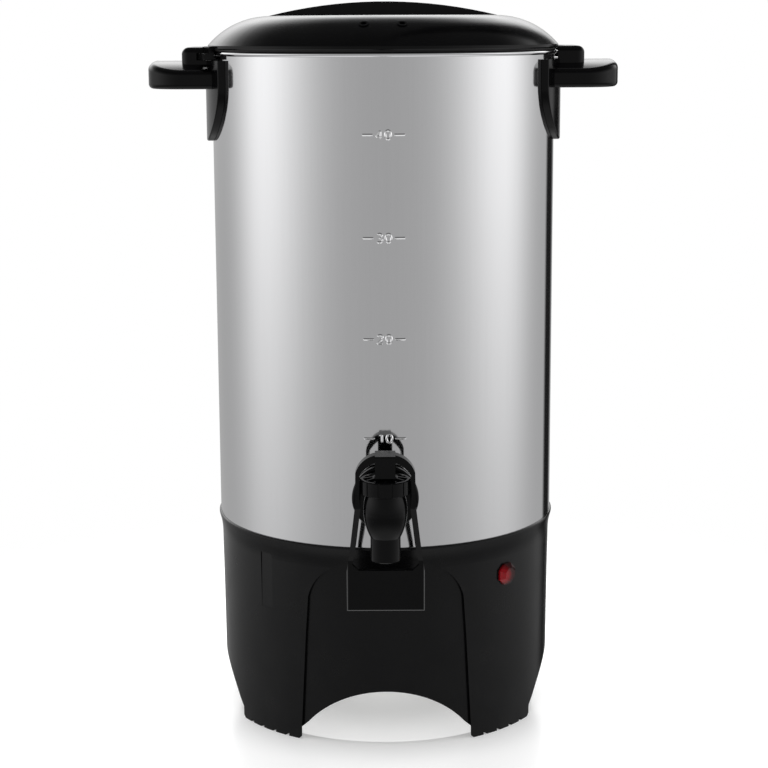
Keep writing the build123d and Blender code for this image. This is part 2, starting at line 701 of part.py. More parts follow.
with BuildPart() as right_handle:
    with BuildSketch(Plane.XY.offset(GRIP_Z0)) as grip_plan:
        with Locations(((GRIP_TIP + TANK_R * 0.8) / 2, 0)):
            Rectangle(GRIP_TIP - TANK_R * 0.8, 2 * GRIP_HALF)
        fillet(grip_plan.vertices().group_by(Axis.X)[-1], GRIP_CORNER)
    extrude(amount=GRIP_Z1 - GRIP_Z0)
    # crowned top: a wide arc from front to back
    with BuildSketch(Plane.YZ.offset(TANK_R * 0.7)):
        with BuildLine():
            Polyline(
                (-GRIP_HALF, GRIP_SIDE_Z),
                (-GRIP_HALF, GRIP_Z0),
                (GRIP_HALF, GRIP_Z0),
                (GRIP_HALF, GRIP_SIDE_Z),
            )
            ThreePointArc((GRIP_HALF, GRIP_SIDE_Z), (0, GRIP_Z1), (-GRIP_HALF, GRIP_SIDE_Z))
        make_face()
    extrude(amount=TANK_R, mode=Mode.INTERSECT)
    rim = right_handle.edges().filter_by(lambda e: e.center().Z > GRIP_SIDE_Z - 1)
    fillet(rim.filter_by(lambda e: e.center().X > TANK_R), GRIP_ROUND)
    sole = right_handle.faces().sort_by(Axis.Z)[0].edges()
    fillet(sole.filter_by(lambda e: e.center().X > TANK_R), GRIP_SOLE_ROUND)
    add(handle_bracket.part)
    # step block that carries the hook
    with BuildSketch(Plane.XY.offset(GRIP_Z0 + 8)) as step_plan:
        with Locations(((HOOK_OUT + TANK_R * 0.9) / 2, 0)):
            Rectangle(HOOK_OUT - TANK_R * 0.9, 2 * HOOK_HALF)
        fillet(step_plan.vertices().group_by(Axis.X)[-1], HOOK_CORNER)
    extrude(amount=HOOK_TOP - GRIP_Z0 - 8)
    brow = right_handle.faces().sort_by(Axis.Z)[-1].edges()
    fillet(brow.filter_by(lambda e: e.center().X > EAR_OUT + 3), HOOK_ROUND)
    add(handle_bore.part, mode=Mode.SUBTRACT)
    # bayonet pocket: open behind, shut in front, with the hook's arm over it
    shut_y = -(LID_R + PLAY) * sin(radians(LOCK_ANGLE - EAR_AZ0 + 1.5))
    with BuildSketch(Plane.XY.offset(POCKET_Z)) as pocket_plan:
        Circle(TONGUE_OUT + 2 * PLAY)
        with Locations((TANK_R, shut_y + TANK_R)):
            Rectangle(TANK_R, 2 * TANK_R, mode=Mode.INTERSECT)
    extrude(amount=TONGUE_T + 2 * PLAY, mode=Mode.SUBTRACT)
    with BuildSketch(Plane.XY.offset(POCKET_Z)) as riser_plan:
        Circle(EAR_OUT + PLAY)
        with Locations((TANK_R, shut_y + TANK_R)):
            Rectangle(TANK_R, 2 * TANK_R, mode=Mode.INTERSECT)
    extrude(amount=HOOK_TOP - POCKET_Z + 5, mode=Mode.SUBTRACT)
    # finger hollow under the grip
    with BuildSketch(Plane.XY.offset(GRIP_Z0)) as hollow_plan:
        with Locations(((GRIP_TIP - GRIP_WALL + GRIP_ROOT) / 2, 0)):
            Rectangle(GRIP_TIP - GRIP_WALL - GRIP_ROOT, 2 * (GRIP_HALF - GRIP_WALL))
        fillet(hollow_plan.vertices().group_by(Axis.X)[-1], GRIP_CORNER - GRIP_WALL)
    extrude(amount=HOLLOW_DEPTH, mode=Mode.SUBTRACT)
    # screw bosses' holes
    for turn in (-HANDLE_SCREW_AZ, HANDLE_SCREW_AZ):
        with BuildSketch(around(90 + turn, TANK_R, HANDLE_SCREW_Z)):
            Circle(SCREW_R + SEAT)
        extrude(amount=HANDLE_SCREW_L, mode=Mode.SUBTRACT)

with BuildPart() as left_handle:
    add(right_handle.part.rotate(Axis.Z, 180))

with BuildPart() as handle_screws:
    for side in (90, 270):
        for turn in (-HANDLE_SCREW_AZ, HANDLE_SCREW_AZ):
            head = around(side + turn, TANK_IN_R - WASHER_T / 2 - 2 * SEAT, HANDLE_SCREW_Z)
            with BuildSketch(head):
                Circle(SCREW_HEAD_R)
            extrude(amount=-SCREW_HEAD_H)
            with BuildSketch(head):
                Circle(SCREW_R)
            extrude(amount=HANDLE_SCREW_L)
            with BuildSketch(head.offset(-SCREW_HEAD_H)):
                Rectangle(CROSS_L, CROSS_W)
                Rectangle(CROSS_W, CROSS_L)
            extrude(amount=CROSS_DEPTH, mode=Mode.SUBTRACT)

with BuildPart() as screw_seals:
    for side in (90, 270):
        for turn in (-HANDLE_SCREW_AZ, HANDLE_SCREW_AZ):
            with BuildSketch(around(side + turn, TANK_IN_R - WASHER_T / 2 - SEAT, HANDLE_SCREW_Z)):
                Circle(SCREW_HEAD_R + 0.8)
                Circle(SCREW_R + SLIP, mode=Mode.SUBTRACT)
            extrude(amount=WASHER_T)
    with BuildSketch(Plane.XY.offset(HANDLE_SCREW_Z - 10)):
        Circle(TANK_IN_R - SEAT)
    extrude(amount=20, mode=Mode.INTERSECT)

# =============================================================== Lid
dome_run = LID_R - RECESS_R
dome_r = (DOME_H**2 + dome_run**2) / (2 * DOME_H)
dome_mid = 0.5 * atan2(dome_run, dome_r - DOME_H)
inner_r = dome_r - LID_WALL
dome_z = DOME_TOP - dome_r
inner_turn = atan2(PLUG_R - LID_WALL - RECESS_R, dome_r - DOME_H)
with BuildPart() as lid_shell:
    with BuildSketch(Plane.XZ):
        with BuildLine():
            Polyline(
                (LID_R - LID_EASE, FLANGE_Z),
                (LID_R, FLANGE_Z + LID_EASE),
                (LID_R, FLANGE_Z + LID_EDGE_H),
            )
            ThreePointArc(
                (LID_R, FLANGE_Z + LID_EDGE_H),
                (RECESS_R + dome_r * sin(dome_mid), dome_z + dome_r * cos(dome_mid)),
                (RECESS_R, DOME_TOP),
            )
            inner_end = (
                RECESS_R + inner_r * sin(inner_turn),
                dome_z + inner_r * cos(inner_turn),
            )
            Polyline(
                (RECESS_R, DOME_TOP),
                (RECESS_R - 1.6, DOME_TOP - 1.2),
                (RECESS_FLOOR_R + 1.5, RECESS_Z + 2.5),
                (RECESS_FLOOR_R - 1.5, RECESS_Z),
                (0, RECESS_Z),
                (0, RECESS_Z - LID_WALL),
                (RECESS_FLOOR_R, RECESS_Z - LID_WALL),
                (RECESS_R, DOME_TOP - LID_WALL - 1),
            )
            ThreePointArc(
                (RECESS_R, DOME_TOP - LID_WALL - 1),
                (
                    RECESS_R + (inner_r - 0.5) * sin(inner_turn / 2),
                    dome_z + (inner_r - 0.5) * cos(inner_turn / 2),
                ),
                inner_end,
            )
            Polyline(
                inner_end,
                (PLUG_R - LID_WALL, PLUG_Z),
                (PLUG_R, PLUG_Z),
                (PLUG_R, FLANGE_Z),
                (LID_R - LID_EASE, FLANGE_Z),
            )
        make_face()
    revolve(axis=Axis.Z)
    # grip bar across the recess
    bar_end = RECESS_R + 0.5
    with BuildSketch(Plane.XZ):
        with BuildLine():
            ThreePointArc((-bar_end, BAR_END_Z), (0, BAR_TOP), (bar_end, BAR_END_Z))
            Polyline(
                (bar_end, BAR_END_Z),
                (bar_end - 1, DOME_TOP - 1.5),
                (RECESS_FLOOR_R, RECESS_Z - 0.5),
                (-RECESS_FLOOR_R, RECESS_Z - 0.5),
                (1 - bar_end, DOME_TOP - 1.5),
                (-bar_end, BAR_END_Z),
            )
        make_face()
    extrude(amount=BAR_W / 2, both=True)
    with BuildSketch(Plane.XZ):
        with BuildLine():
            under = RECESS_FLOOR_R - LID_WALL
            ThreePointArc(
                (-under, BAR_END_Z - LID_WALL - 3),
                (0, BAR_TOP - LID_WALL),
                (under, BAR_END_Z - LID_WALL - 3),
            )
            Polyline(
                (under, BAR_END_Z - LID_WALL - 3),
                (under - 3, RECESS_Z - LID_WALL - 1),
                (3 - under, RECESS_Z - LID_WALL - 1),
                (-under, BAR_END_Z - LID_WALL - 3),
            )
        make_face()
    extrude(amount=BAR_W / 2 - LID_WALL, both=True, mode=Mode.SUBTRACT)
    # bayonet ears
    for turn in SIDES:
        for low, high, inner, outer in (
            (POCKET_Z + PLAY, FLANGE_Z + LID_EDGE_H - 0.4, EAR_IN, EAR_OUT),
            (FLANGE_Z, FLANGE_Z + LID_EDGE_H - 0.4, PLUG_R, EAR_OUT),
            (POCKET_Z + PLAY, POCKET_Z + PLAY + TONGUE_T, EAR_IN, TONGUE_OUT),
        ):
            with BuildSketch(Plane.XY.offset(low)):
                with BuildLine():
                    start = turn + EAR_AZ0
                    rim_arc = CenterArc((0, 0), outer, start, EAR_SPAN)
                    root_arc = CenterArc((0, 0), inner, start, EAR_SPAN)
                    Line(rim_arc @ 0, root_arc @ 0)
                    Line(rim_arc @ 1, root_arc @ 1)
                make_face()
            extrude(amount=high - low)
    # steam vents with raised rims on the dome's front slope
    vent_tilt = atan2(VENT_PITCH_R - RECESS_R, sqrt(dome_r**2 - (VENT_PITCH_R - RECESS_R) ** 2))
    vent_z = dome_z + dome_r * cos(vent_tilt)
    for az in (-VENT_AZ, VENT_AZ):
        spot = around(az, VENT_PITCH_R, vent_z)
        normal = spot.z_dir * sin(vent_tilt) + Vector(0, 0, cos(vent_tilt))
        with BuildSketch(Plane(origin=spot.origin - normal, x_dir=spot.x_dir, z_dir=normal)):
            Circle(VENT_R + VENT_RIM)
        extrude(amount=1.6)
        with BuildSketch(Plane(origin=spot.origin - normal * 6, x_dir=spot.x_dir, z_dir=normal)):
            Circle(VENT_R)
        extrude(amount=12, mode=Mode.SUBTRACT)

with BuildPart() as lid_seal:
    with BuildSketch(Plane.XY.offset(SEAL_Z)):
        Circle(PLUG_R + 0.3 + SEAL_W)
        Circle(PLUG_R + 0.3, mode=Mode.SUBTRACT)
    extrude(amount=SEAL_T)

# =============================================================== Tap
tap_axis = Axis((0, TAP_Y, 0), (0, 0, 1))
tap_section = Plane(origin=(0, TAP_Y, 0), x_dir=(0, 1, 0), z_dir=(1, 0, 0))
shank_front = Plane(origin=(0, TAP_Y, SHANK_Z), x_dir=(1, 0, 0), z_dir=(0, 1, 0))
flange_y = -TANK_R - WASHER_T - FLANGE_T
with BuildPart() as tap_body:
    with BuildSketch(tap_section):
        with BuildLine():
            Polyline((0, SPOUT_Z), (SPOUT_R - 0.4, SPOUT_Z), (SPOUT_R, SPOUT_Z + 0.4), (BELL_NECK_R, BELL_NECK_Z))
            ThreePointArc(
                (BELL_NECK_R, BELL_NECK_Z),
                (
                    BELL_NECK_R + 0.66 * (BELL_R - BELL_NECK_R),
                    BELL_NECK_Z + 0.42 * (BELL_Z - BELL_NECK_Z),
                ),
                (BELL_R, BELL_Z),
            )
            ThreePointArc(
                (BELL_R, BELL_Z),
                (BELL_R - 0.15, (BELL_Z + BONNET_Z0) / 2),
                (BELL_LIP_R, BONNET_Z0 - 0.3),
            )
            Polyline((BELL_LIP_R, BONNET_Z0 - 0.3), (BELL_LIP_R, BODY_TOP), (0, BODY_TOP), (0, SPOUT_Z))
        make_face()
    revolve(axis=tap_axis)
    with BuildSketch(shank_front):
        Circle(SHANK_R)
    extrude(amount=flange_y - TAP_Y + 1)
    with BuildSketch(Plane(origin=(0, flange_y, SHANK_Z), x_dir=(1, 0, 0), z_dir=(0, 1, 0))):
        Circle(FLANGE_R)
    extrude(amount=FLANGE_T)
    fillet(tap_body.faces().filter_by(Axis.Y).group_by(Axis.Y)[0].edges().filter_by(GeomType.CIRCLE), 1.2)
    with BuildSketch(Plane(origin=(0, flange_y, SHANK_Z), x_dir=(1, 0, 0), z_dir=(0, 1, 0))):
        Circle(THREAD_R)
    extrude(amount=THREAD_END_Y - flange_y)
    # the thread's open end, shown as V grooves
    with BuildSketch(Plane.YZ):
        with Locations((THREAD_END_Y - THREAD_PITCH, SHANK_Z + THREAD_R)):
            with Locations(*[(-turn * THREAD_PITCH, 0) for turn in range(THREAD_GROOVES)]):
                Rectangle(THREAD_DEPTH * sqrt(2), THREAD_DEPTH * sqrt(2), rotation=45)
    revolve(axis=Axis((0, 0, SHANK_Z), (0, 1, 0)), mode=Mode.SUBTRACT)
    with BuildSketch(tap_section):
        with BuildLine():
            Polyline(
                (0, SPOUT_Z - 1),
                (THROAT_R, SPOUT_Z - 1),
                (THROAT_R, SEAT_Z),
                (CHAMBER_R, SEAT_Z),
                (CHAMBER_R, BODY_TOP + 1),
                (0, BODY_TOP + 1),
                close=True,
            )
        make_face()
    revolve(axis=tap_axis, mode=Mode.SUBTRACT)
    with BuildSketch(shank_front):
        Circle(SHANK_BORE_R)
    extrude(amount=THREAD_END_Y - TAP_Y + 1, mode=Mode.SUBTRACT)

with BuildPart() as outer_washer:
    with BuildSketch(Plane(origin=(0, -TANK_R - WASHER_T, SHANK_Z), x_dir=(1, 0, 0), z_dir=(0, 1, 0))):
        Circle(WASHER_R)
        Circle(THREAD_R + SLIP, mode=Mode.SUBTRACT)
    extrude(amount=WASHER_T + 3)
    with BuildSketch(Plane.XY.offset(SHANK_Z - 2 * WASHER_R)):
        Circle(TANK_R + SEAT)
    extrude(amount=4 * WASHER_R, mode=Mode.SUBTRACT)

inner_flat = -sqrt(TANK_IN_R**2 - WASHER_R**2) + WASHER_T / 2
with BuildPart() as inner_washer:
    with BuildSketch(Plane(origin=(0, -TANK_R, SHANK_Z), x_dir=(1, 0, 0), z_dir=(0, 1, 0))):
        Circle(WASHER_R)
        Circle(THREAD_R + SLIP, mode=Mode.SUBTRACT)
    extrude(amount=inner_flat + TANK_R)
    with BuildSketch(Plane.XY.offset(SHANK_Z - 2 * WASHER_R)):
        Circle(TANK_IN_R - SEAT)
    extrude(amount=4 * WASHER_R, mode=Mode.INTERSECT)

with BuildPart() as tap_nut:
    with BuildSketch(Plane(origin=(0, inner_flat, SHANK_Z), x_dir=(1, 0, 0), z_dir=(0, 1, 0))):
        RegularPolygon(TAP_NUT_R, 6)
        Circle(THREAD_R + SEAT, mode=Mode.SUBTRACT)
    extrude(amount=TAP_NUT_T)

with BuildPart() as bonnet_spoke:
    with BuildSketch(Plane.XZ):
        with BuildLine():
            Polyline(
                (CONE_R - 0.8, BONNET_Z1 - 1),
                (BONNET_R - 1.8, BONNET_Z1 - 1),
                (BONNET_R - 1.8, BONNET_Z1 + 0.2),
                (CONE_R - 0.8, CONE_TOP - 0.1),
                close=True,
            )
        make_face()
    extrude(amount=RIB_T / 2, both=True)

with BuildPart() as bonnet:
    with BuildSketch(tap_section):
        with BuildLine():
            Polyline(
                (STEM_R + SLIP, BODY_TOP + SEAT),
                (BELL_LIP_R + SEAT, BODY_TOP + SEAT),
                (BELL_LIP_R + SEAT, BONNET_Z0),
                (BONNET_R - 0.4, BONNET_Z0),
                (BONNET_R, BONNET_Z0 + 0.4),
                (BONNET_R, BONNET_Z1 - 0.5),
                (BONNET_R - 0.5, BONNET_Z1),
                (BONNET_R - 1.6, BONNET_Z1),
                (BONNET_R - 2.2, BONNET_Z1 - 0.6),
                (CONE_R + 1.2, BONNET_Z1 - 0.2),
                (CONE_R, CONE_TOP),
                (STEM_R + SLIP, CONE_TOP),
                close=True,
            )
        make_face()
    revolve(axis=tap_axis)
    with Locations((0, TAP_Y, 0)):
        with PolarLocations(0, RIB_COUNT):
            add(bonnet_spoke.part)
    # grip grooves down the ring
    with BuildSketch(Plane.XY.offset(BONNET_Z0 + 0.8)):
        with Locations((0, TAP_Y)):
            with PolarLocations(BONNET_R, RIB_COUNT, start_angle=15):
                Rectangle(2 * GROOVE_DEPTH, RIB_T)
    extrude(amount=BONNET_Z1 - BONNET_Z0, mode=Mode.SUBTRACT)

with BuildPart() as valve_stem:
    cup_top = SEAT_Z + SEAT + CUP_H
    with BuildSketch(Plane((0, TAP_Y, cup_top - 3.5))):
        Circle(STEM_R)
    extrude(amount=STEM_TOP - cup_top + 3.5)
    chamfer(valve_stem.edges().sort_by(Axis.Z)[-1], 0.5)
    with BuildSketch(Plane((0, TAP_Y, cup_top + SEAT))):
        Circle(COLLAR_R)
    extrude(amount=COLLAR_T)
    with BuildSketch(Plane(origin=(0, TAP_Y, PIN_Z), x_dir=(0, 1, 0), z_dir=(1, 0, 0))):
        Circle(PIN_R + SEAT)
    extrude(amount=10, both=True, mode=Mode.SUBTRACT)

with BuildPart() as seat_cup:
    with BuildSketch(Plane((0, TAP_Y, SEAT_Z + SEAT))):
        Circle(CUP_R)
    extrude(amount=CUP_H)
    fillet(seat_cup.edges().sort_by(Axis.Z)[-1], 1.5)
    with BuildSketch(Plane((0, TAP_Y, cup_top - 3.5 - SEAT))):
        Circle(STEM_R + SEAT)
    extrude(amount=10, mode=Mode.SUBTRACT)

with BuildPart() as stem_spring:
    spring_low = cup_top + SEAT + COLLAR_T + SPRING_WIRE / 2 + SEAT
    spring_high = BODY_TOP - SPRING_WIRE / 2
    with BuildLine() as coil:
        Helix(
            pitch=(spring_high - spring_low) / SPRING_TURNS,
            height=spring_high - spring_low,
            radius=STEM_R + 1.6,
            center=(0, TAP_Y, spring_low),
        )
    with BuildSketch(Plane(origin=coil.line @ 0, z_dir=coil.line % 0)):
        Circle(SPRING_WIRE / 2)
    sweep(path=coil.line)

with BuildPart() as lever_pin:
    with BuildSketch(Plane(origin=(0, TAP_Y, PIN_Z), x_dir=(0, 1, 0), z_dir=(1, 0, 0))):
        Circle(PIN_R)
    extrude(amount=HUB_HALF - 0.2, both=True)

with BuildPart() as lever_side:
    # the lever seen from the side: upright yoke, then arms that sweep back to the paddle
    with BuildSketch(Plane.YZ):
        with BuildLine():
            Polyline(
                (TAP_Y - YOKE_D / 2, YOKE_TOP + 2),
                (TAP_Y - YOKE_D / 2, BONNET_Z0),
                (TAP_Y - YOKE_D / 2 + 1.5, SHANK_Z),
                (PADDLE_Y - PADDLE_T / 2, SPOUT_Z - 3),
                (PADDLE_Y - PADDLE_T / 2, PADDLE_Z),
                (PADDLE_Y + PADDLE_T / 2, PADDLE_Z),
                (PADDLE_Y + PADDLE_T / 2, SPOUT_Z - 1),
                (TAP_Y + YOKE_D / 2 - 0.5, SHANK_Z),
                (TAP_Y + YOKE_D / 2, BONNET_Z0),
                (TAP_Y + YOKE_D / 2, YOKE_TOP + 2),
                close=True,
            )
        make_face()
    extrude(amount=PADDLE_HALF + 5, both=True)

with BuildPart() as tap_lever:
    shoulder_x = YOKE_HALF - 0.2
    shoulder_z = YOKE_TOP - 9.4
    crown_x = HUB_HALF - 0.6
    mid_x = 0.71 * YOKE_HALF
    mid_z = YOKE_TOP - 2.9
    with BuildSketch(Plane.XZ.offset(-TAP_Y - HUB_D)):
        with BuildLine():
            ThreePointArc((-shoulder_x, shoulder_z), (-mid_x, mid_z), (-crown_x, YOKE_TOP))
            Line((-crown_x, YOKE_TOP), (crown_x, YOKE_TOP))
            ThreePointArc((crown_x, YOKE_TOP), (mid_x, mid_z), (shoulder_x, shoulder_z))
            Polyline(
                (shoulder_x, shoulder_z),
                (YOKE_HALF, BONNET_Z0),
                (YOKE_HALF + 0.3, SHANK_Z),
                (PADDLE_HALF - 2.2, SPOUT_Z + 7),
                (PADDLE_HALF, PADDLE_TOP - 1),
                (PADDLE_HALF, PADDLE_Z),
                (-PADDLE_HALF, PADDLE_Z),
                (-PADDLE_HALF, PADDLE_TOP - 1),
                (2.2 - PADDLE_HALF, SPOUT_Z + 7),
                (-YOKE_HALF - 0.3, SHANK_Z),
                (-YOKE_HALF, BONNET_Z0),
                (-shoulder_x, shoulder_z),
            )
        make_face()
        with BuildLine():
            inner_x = shoulder_x - ARM_W
            ThreePointArc(
                (-inner_x, shoulder_z - 1.4),
                (ARCH_W * 0.72 - mid_x, mid_z - ARCH_W * 0.86),
                (-crown_x, YOKE_TOP - ARCH_W),
            )
            Line((-crown_x, YOKE_TOP - ARCH_W), (crown_x, YOKE_TOP - ARCH_W))
            ThreePointArc(
                (crown_x, YOKE_TOP - ARCH_W),
                (mid_x - ARCH_W * 0.72, mid_z - ARCH_W * 0.86),
                (inner_x, shoulder_z - 1.4),
            )
            Polyline(
                (inner_x, shoulder_z - 1.4),
                (YOKE_HALF - ARM_W, BONNET_Z0 - 1),
                (YOKE_HALF + 0.3 - LOW_ARM_W, SHANK_Z),
                (PADDLE_HALF - 2.2 - LOW_ARM_W, SPOUT_Z + 7),
                (PADDLE_HALF - LOW_ARM_W, PADDLE_TOP + 3),
                (PADDLE_HALF - LOW_ARM_W - 3, PADDLE_TOP),
                (LOW_ARM_W + 3 - PADDLE_HALF, PADDLE_TOP),
                (LOW_ARM_W - PADDLE_HALF, PADDLE_TOP + 3),
                (2.2 + LOW_ARM_W - PADDLE_HALF, SPOUT_Z + 7),
                (LOW_ARM_W - 0.3 - YOKE_HALF, SHANK_Z),
                (ARM_W - YOKE_HALF, BONNET_Z0 - 1),
                (-inner_x, shoulder_z - 1.4),
            )
        make_face(mode=Mode.SUBTRACT)
    extrude(amount=2 * HUB_D)
    add(lever_side.part, mode=Mode.INTERSECT)
    paddle_front = tap_lever.faces().filter_by(Axis.Y).filter_by(lambda f: f.center().Z < PADDLE_TOP)
    paddle_rim = paddle_front.sort_by(Axis.Y)[0].edges().filter_by(lambda e: e.center().Z < PADDLE_TOP + 1)
    fillet(paddle_rim, PADDLE_ROUND)
    # hub over the stem, hollow enough below to let the lever tilt
    with BuildSketch(Plane((0, TAP_Y, HEEL_Z))):
        Rectangle(2 * HUB_HALF, HUB_D)
    extrude(amount=YOKE_TOP - HEEL_Z)
    hub_top = tap_lever.faces().sort_by(Axis.Z)[-1].edges().filter_by(Axis.X)
    fillet(hub_top.filter_by(lambda e: abs(e.center().Y - TAP_Y) > HUB_D / 2 - 0.1), HUB_ROUND)
    with BuildSketch(Plane((0, TAP_Y, HEEL_Z))):
        Rectangle(2 * (STEM_R + SLIP), 2 * (STEM_R + STEM_LIFT + SLIP))
    extrude(amount=PIN_Z + STEM_SWING + SLIP - HEEL_Z, mode=Mode.SUBTRACT)
    with BuildSketch(Plane(origin=(0, TAP_Y, PIN_Z), x_dir=(0, 1, 0), z_dir=(1, 0, 0))):
        Circle(PIN_R + SEAT)
    extrude(amount=HUB_HALF + 2, both=True, mode=Mode.SUBTRACT)

# =============================================================== Percolator
with BuildPart() as pump_tube:
    tube_low = WELL_Z + FOOT_H - 4
    stop_z = BASKET_Z - SEAT - STOP_T
    with BuildSketch(Plane.XY.offset(tube_low)):
        Circle(TUBE_R)
    extrude(amount=TUBE_TOP - tube_low)
    with BuildSketch(Plane.XY.offset(stop_z)):
        Circle(STOP_R)
    extrude(amount=STOP_T)
    with BuildSketch(Plane.XY.offset(tube_low)):
        Circle(TUBE_BORE_R)
    extrude(amount=TUBE_TOP - tube_low, mode=Mode.SUBTRACT)

with BuildPart() as pump_foot:
    foot_z = WELL_Z + SEAT
    neck_z = WELL_Z + FOOT_H - 6
    with BuildSketch(Plane.XZ):
        with BuildLine():
            Polyline(
                (FOOT_R, foot_z),
                (FOOT_R, foot_z + 2),
                (STOP_R + FOOT_T, neck_z),
                (TUBE_R + SEAT + FOOT_T, neck_z + 1),
                (TUBE_R + SEAT + FOOT_T, WELL_Z + FOOT_H),
                (TUBE_R + SEAT, WELL_Z + FOOT_H),
                (TUBE_R + SEAT, tube_low - SEAT),
                (TUBE_BORE_R, tube_low - SEAT),
                (TUBE_BORE_R, neck_z - FOOT_T),
                (STOP_R, neck_z - FOOT_T),
                (FOOT_R - FOOT_T, foot_z + 1.4),
                (FOOT_R - FOOT_T, foot_z),
                close=True,
            )
        make_face()
    revolve(axis=Axis.Z)
    with BuildSketch(Plane.XY.offset(foot_z)):
        with PolarLocations(17, 6):
            Circle(2.2)
    extrude(amount=FOOT_H, mode=Mode.SUBTRACT)

with BuildPart() as flutter_disc:
    with BuildSketch(Plane.XY.offset(foot_z)):
        Circle(DISC_R)
    extrude(amount=DISC_T)

with BuildPart() as coffee_basket:
    with BuildSketch(Plane.XZ):
        with BuildLine():
            Polyline(
                (TUBE_R + PLAY, BASKET_Z),
                (BASKET_R - 4, BASKET_Z),
                (BASKET_R, BASKET_Z + 4),
                (BASKET_R, BASKET_TOP_Z - SHEET),
                (BASKET_R + 2, BASKET_TOP_Z - SHEET),
                (BASKET_R + 2, BASKET_TOP_Z),
                (BASKET_R - SHEET, BASKET_TOP_Z),
                (BASKET_R - SHEET, BASKET_Z + 4),
                (BASKET_R - 4, BASKET_Z + SHEET),
                (SLEEVE_R, BASKET_Z + SHEET),
                (SLEEVE_R, BASKET_TOP_Z - COVER_SINK),
                (TUBE_R + PLAY, BASKET_TOP_Z - COVER_SINK),
                close=True,
            )
        make_face()
    revolve(axis=Axis.Z)
    with BuildSketch(Plane.XY.offset(BASKET_Z - 1)):
        for ring in range(1, 5):
            with PolarLocations(14 * ring, 8 * ring):
                Circle(HOLE_R)
    extrude(amount=SHEET + 2, mode=Mode.SUBTRACT)

with BuildPart() as basket_cover:
    cover_rim = BASKET_R - SHEET - COVER_GAP
    cover_low = BASKET_TOP_Z - COVER_SINK + SEAT
    with BuildSketch(Plane.XZ):
        with BuildLine():
            Polyline(
                (TUBE_R + PLAY, cover_low),
                (DISH_R, cover_low),
                (DISH_R + DISH_RUN, cover_low - 2),
                (cover_rim - 4, cover_low - 1),
                (cover_rim, cover_low + 3),
                (cover_rim, cover_low + 3 + SHEET),
                (cover_rim - 4.4, cover_low - 1 + SHEET),
                (DISH_R + DISH_RUN, cover_low - 2 + SHEET),
                (DISH_R, cover_low + SHEET),
                (TUBE_R + PLAY, cover_low + SHEET),
                close=True,
            )
        make_face()
    revolve(axis=Axis.Z)
    with BuildSketch(Plane.XY.offset(cover_low - 5)):
        for ring in range(2, 5):
            with PolarLocations(15 * ring, 7 * ring):
                Circle(HOLE_R)
    extrude(amount=SHEET + 10, mode=Mode.SUBTRACT)

# =============================================================== Write the pieces
pieces = {
    "tank_shell": tank_shell,
    "centre_stud": centre_stud,
    "base_skirt": base_skirt,
    "bottom_cover": bottom_cover,
    "cover_screws": cover_screws,
    "centre_nut": centre_nut,
    "heater_spider": heater_spider,
    "spider_nut": spider_nut,
    "brew_heater": brew_heater,
    "warm_heater": warm_heater,
    "thermostat": thermostat,
    "thermal_fuse": thermal_fuse,
    "terminal_block": terminal_block,
    "lamp_lens": lamp_lens,
    "neon_bulb": neon_bulb,
    "lamp_nut": lamp_nut,
    "cord_gland": cord_gland,
    "right_handle": right_handle,
    "left_handle": left_handle,
    "handle_screws": handle_screws,
    "screw_seals": screw_seals,
    "lid_shell": lid_shell,
    "lid_seal": lid_seal,
    "tap_body": tap_body,
    "outer_washer": outer_washer,
    "inner_washer": inner_washer,
    "tap_nut": tap_nut,
    "bonnet": bonnet,
    "valve_stem": valve_stem,
    "seat_cup": seat_cup,
    "stem_spring": stem_spring,
    "lever_pin": lever_pin,
    "tap_lever": tap_lever,
    "pump_tube": pump_tube,
    "pump_foot": pump_foot,
    "flutter_disc": flutter_disc,
    "coffee_basket": coffee_basket,
    "basket_cover": basket_cover,
}
os.makedirs("parts", exist_ok=True)
for name, piece in pieces.items():
    piece.part.label = name
    export_step(piece.part, f"parts/{name}.step")
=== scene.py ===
import json
from math import radians

import bmesh
import bpy
import numpy as np
from bpy.props import FloatProperty, FloatVectorProperty, IntProperty, PointerProperty
from mathutils import Euler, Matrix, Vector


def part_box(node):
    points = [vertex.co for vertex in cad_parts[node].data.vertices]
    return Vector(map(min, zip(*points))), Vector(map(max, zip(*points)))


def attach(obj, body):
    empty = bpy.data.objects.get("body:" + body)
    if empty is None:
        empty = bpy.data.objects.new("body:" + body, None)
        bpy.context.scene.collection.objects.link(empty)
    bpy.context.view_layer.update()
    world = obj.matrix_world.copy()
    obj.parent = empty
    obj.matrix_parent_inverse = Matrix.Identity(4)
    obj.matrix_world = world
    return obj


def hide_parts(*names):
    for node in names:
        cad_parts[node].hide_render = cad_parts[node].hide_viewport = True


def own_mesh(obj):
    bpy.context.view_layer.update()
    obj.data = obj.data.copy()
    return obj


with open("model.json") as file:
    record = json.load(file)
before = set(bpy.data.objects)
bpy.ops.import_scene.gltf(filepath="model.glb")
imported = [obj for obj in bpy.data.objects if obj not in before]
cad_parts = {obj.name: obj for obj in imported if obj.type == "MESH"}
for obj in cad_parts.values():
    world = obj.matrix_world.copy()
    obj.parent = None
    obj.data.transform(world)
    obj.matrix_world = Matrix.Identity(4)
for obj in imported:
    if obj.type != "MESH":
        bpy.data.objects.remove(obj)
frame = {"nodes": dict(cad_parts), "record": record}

bl_info = {
    "name": "Coffee Urn Dressing",
    "version": (1, 0, 0),
    "blender": (4, 5, 0),
    "location": "View3D > Sidebar > Urn",
    "description": "Finishes, raised marks and a soft studio for a percolating coffee urn",
    "category": "Object",
}

MM = 0.001
BODIES = {
    node: body
    for body, nodes in frame["record"]["behaviour"]["bodies"].items()
    for node in nodes
}
SLOTS = {part["node"]: part["material_slot"] for part in frame["record"]["subparts"]}
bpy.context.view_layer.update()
TANK_R = 95.0 * MM  # outer radius of the plain wall
SECTION = 12  # points round a raised line's section and round the spring's wire
MERGE = 0.002 * MM  # points closer than this become one

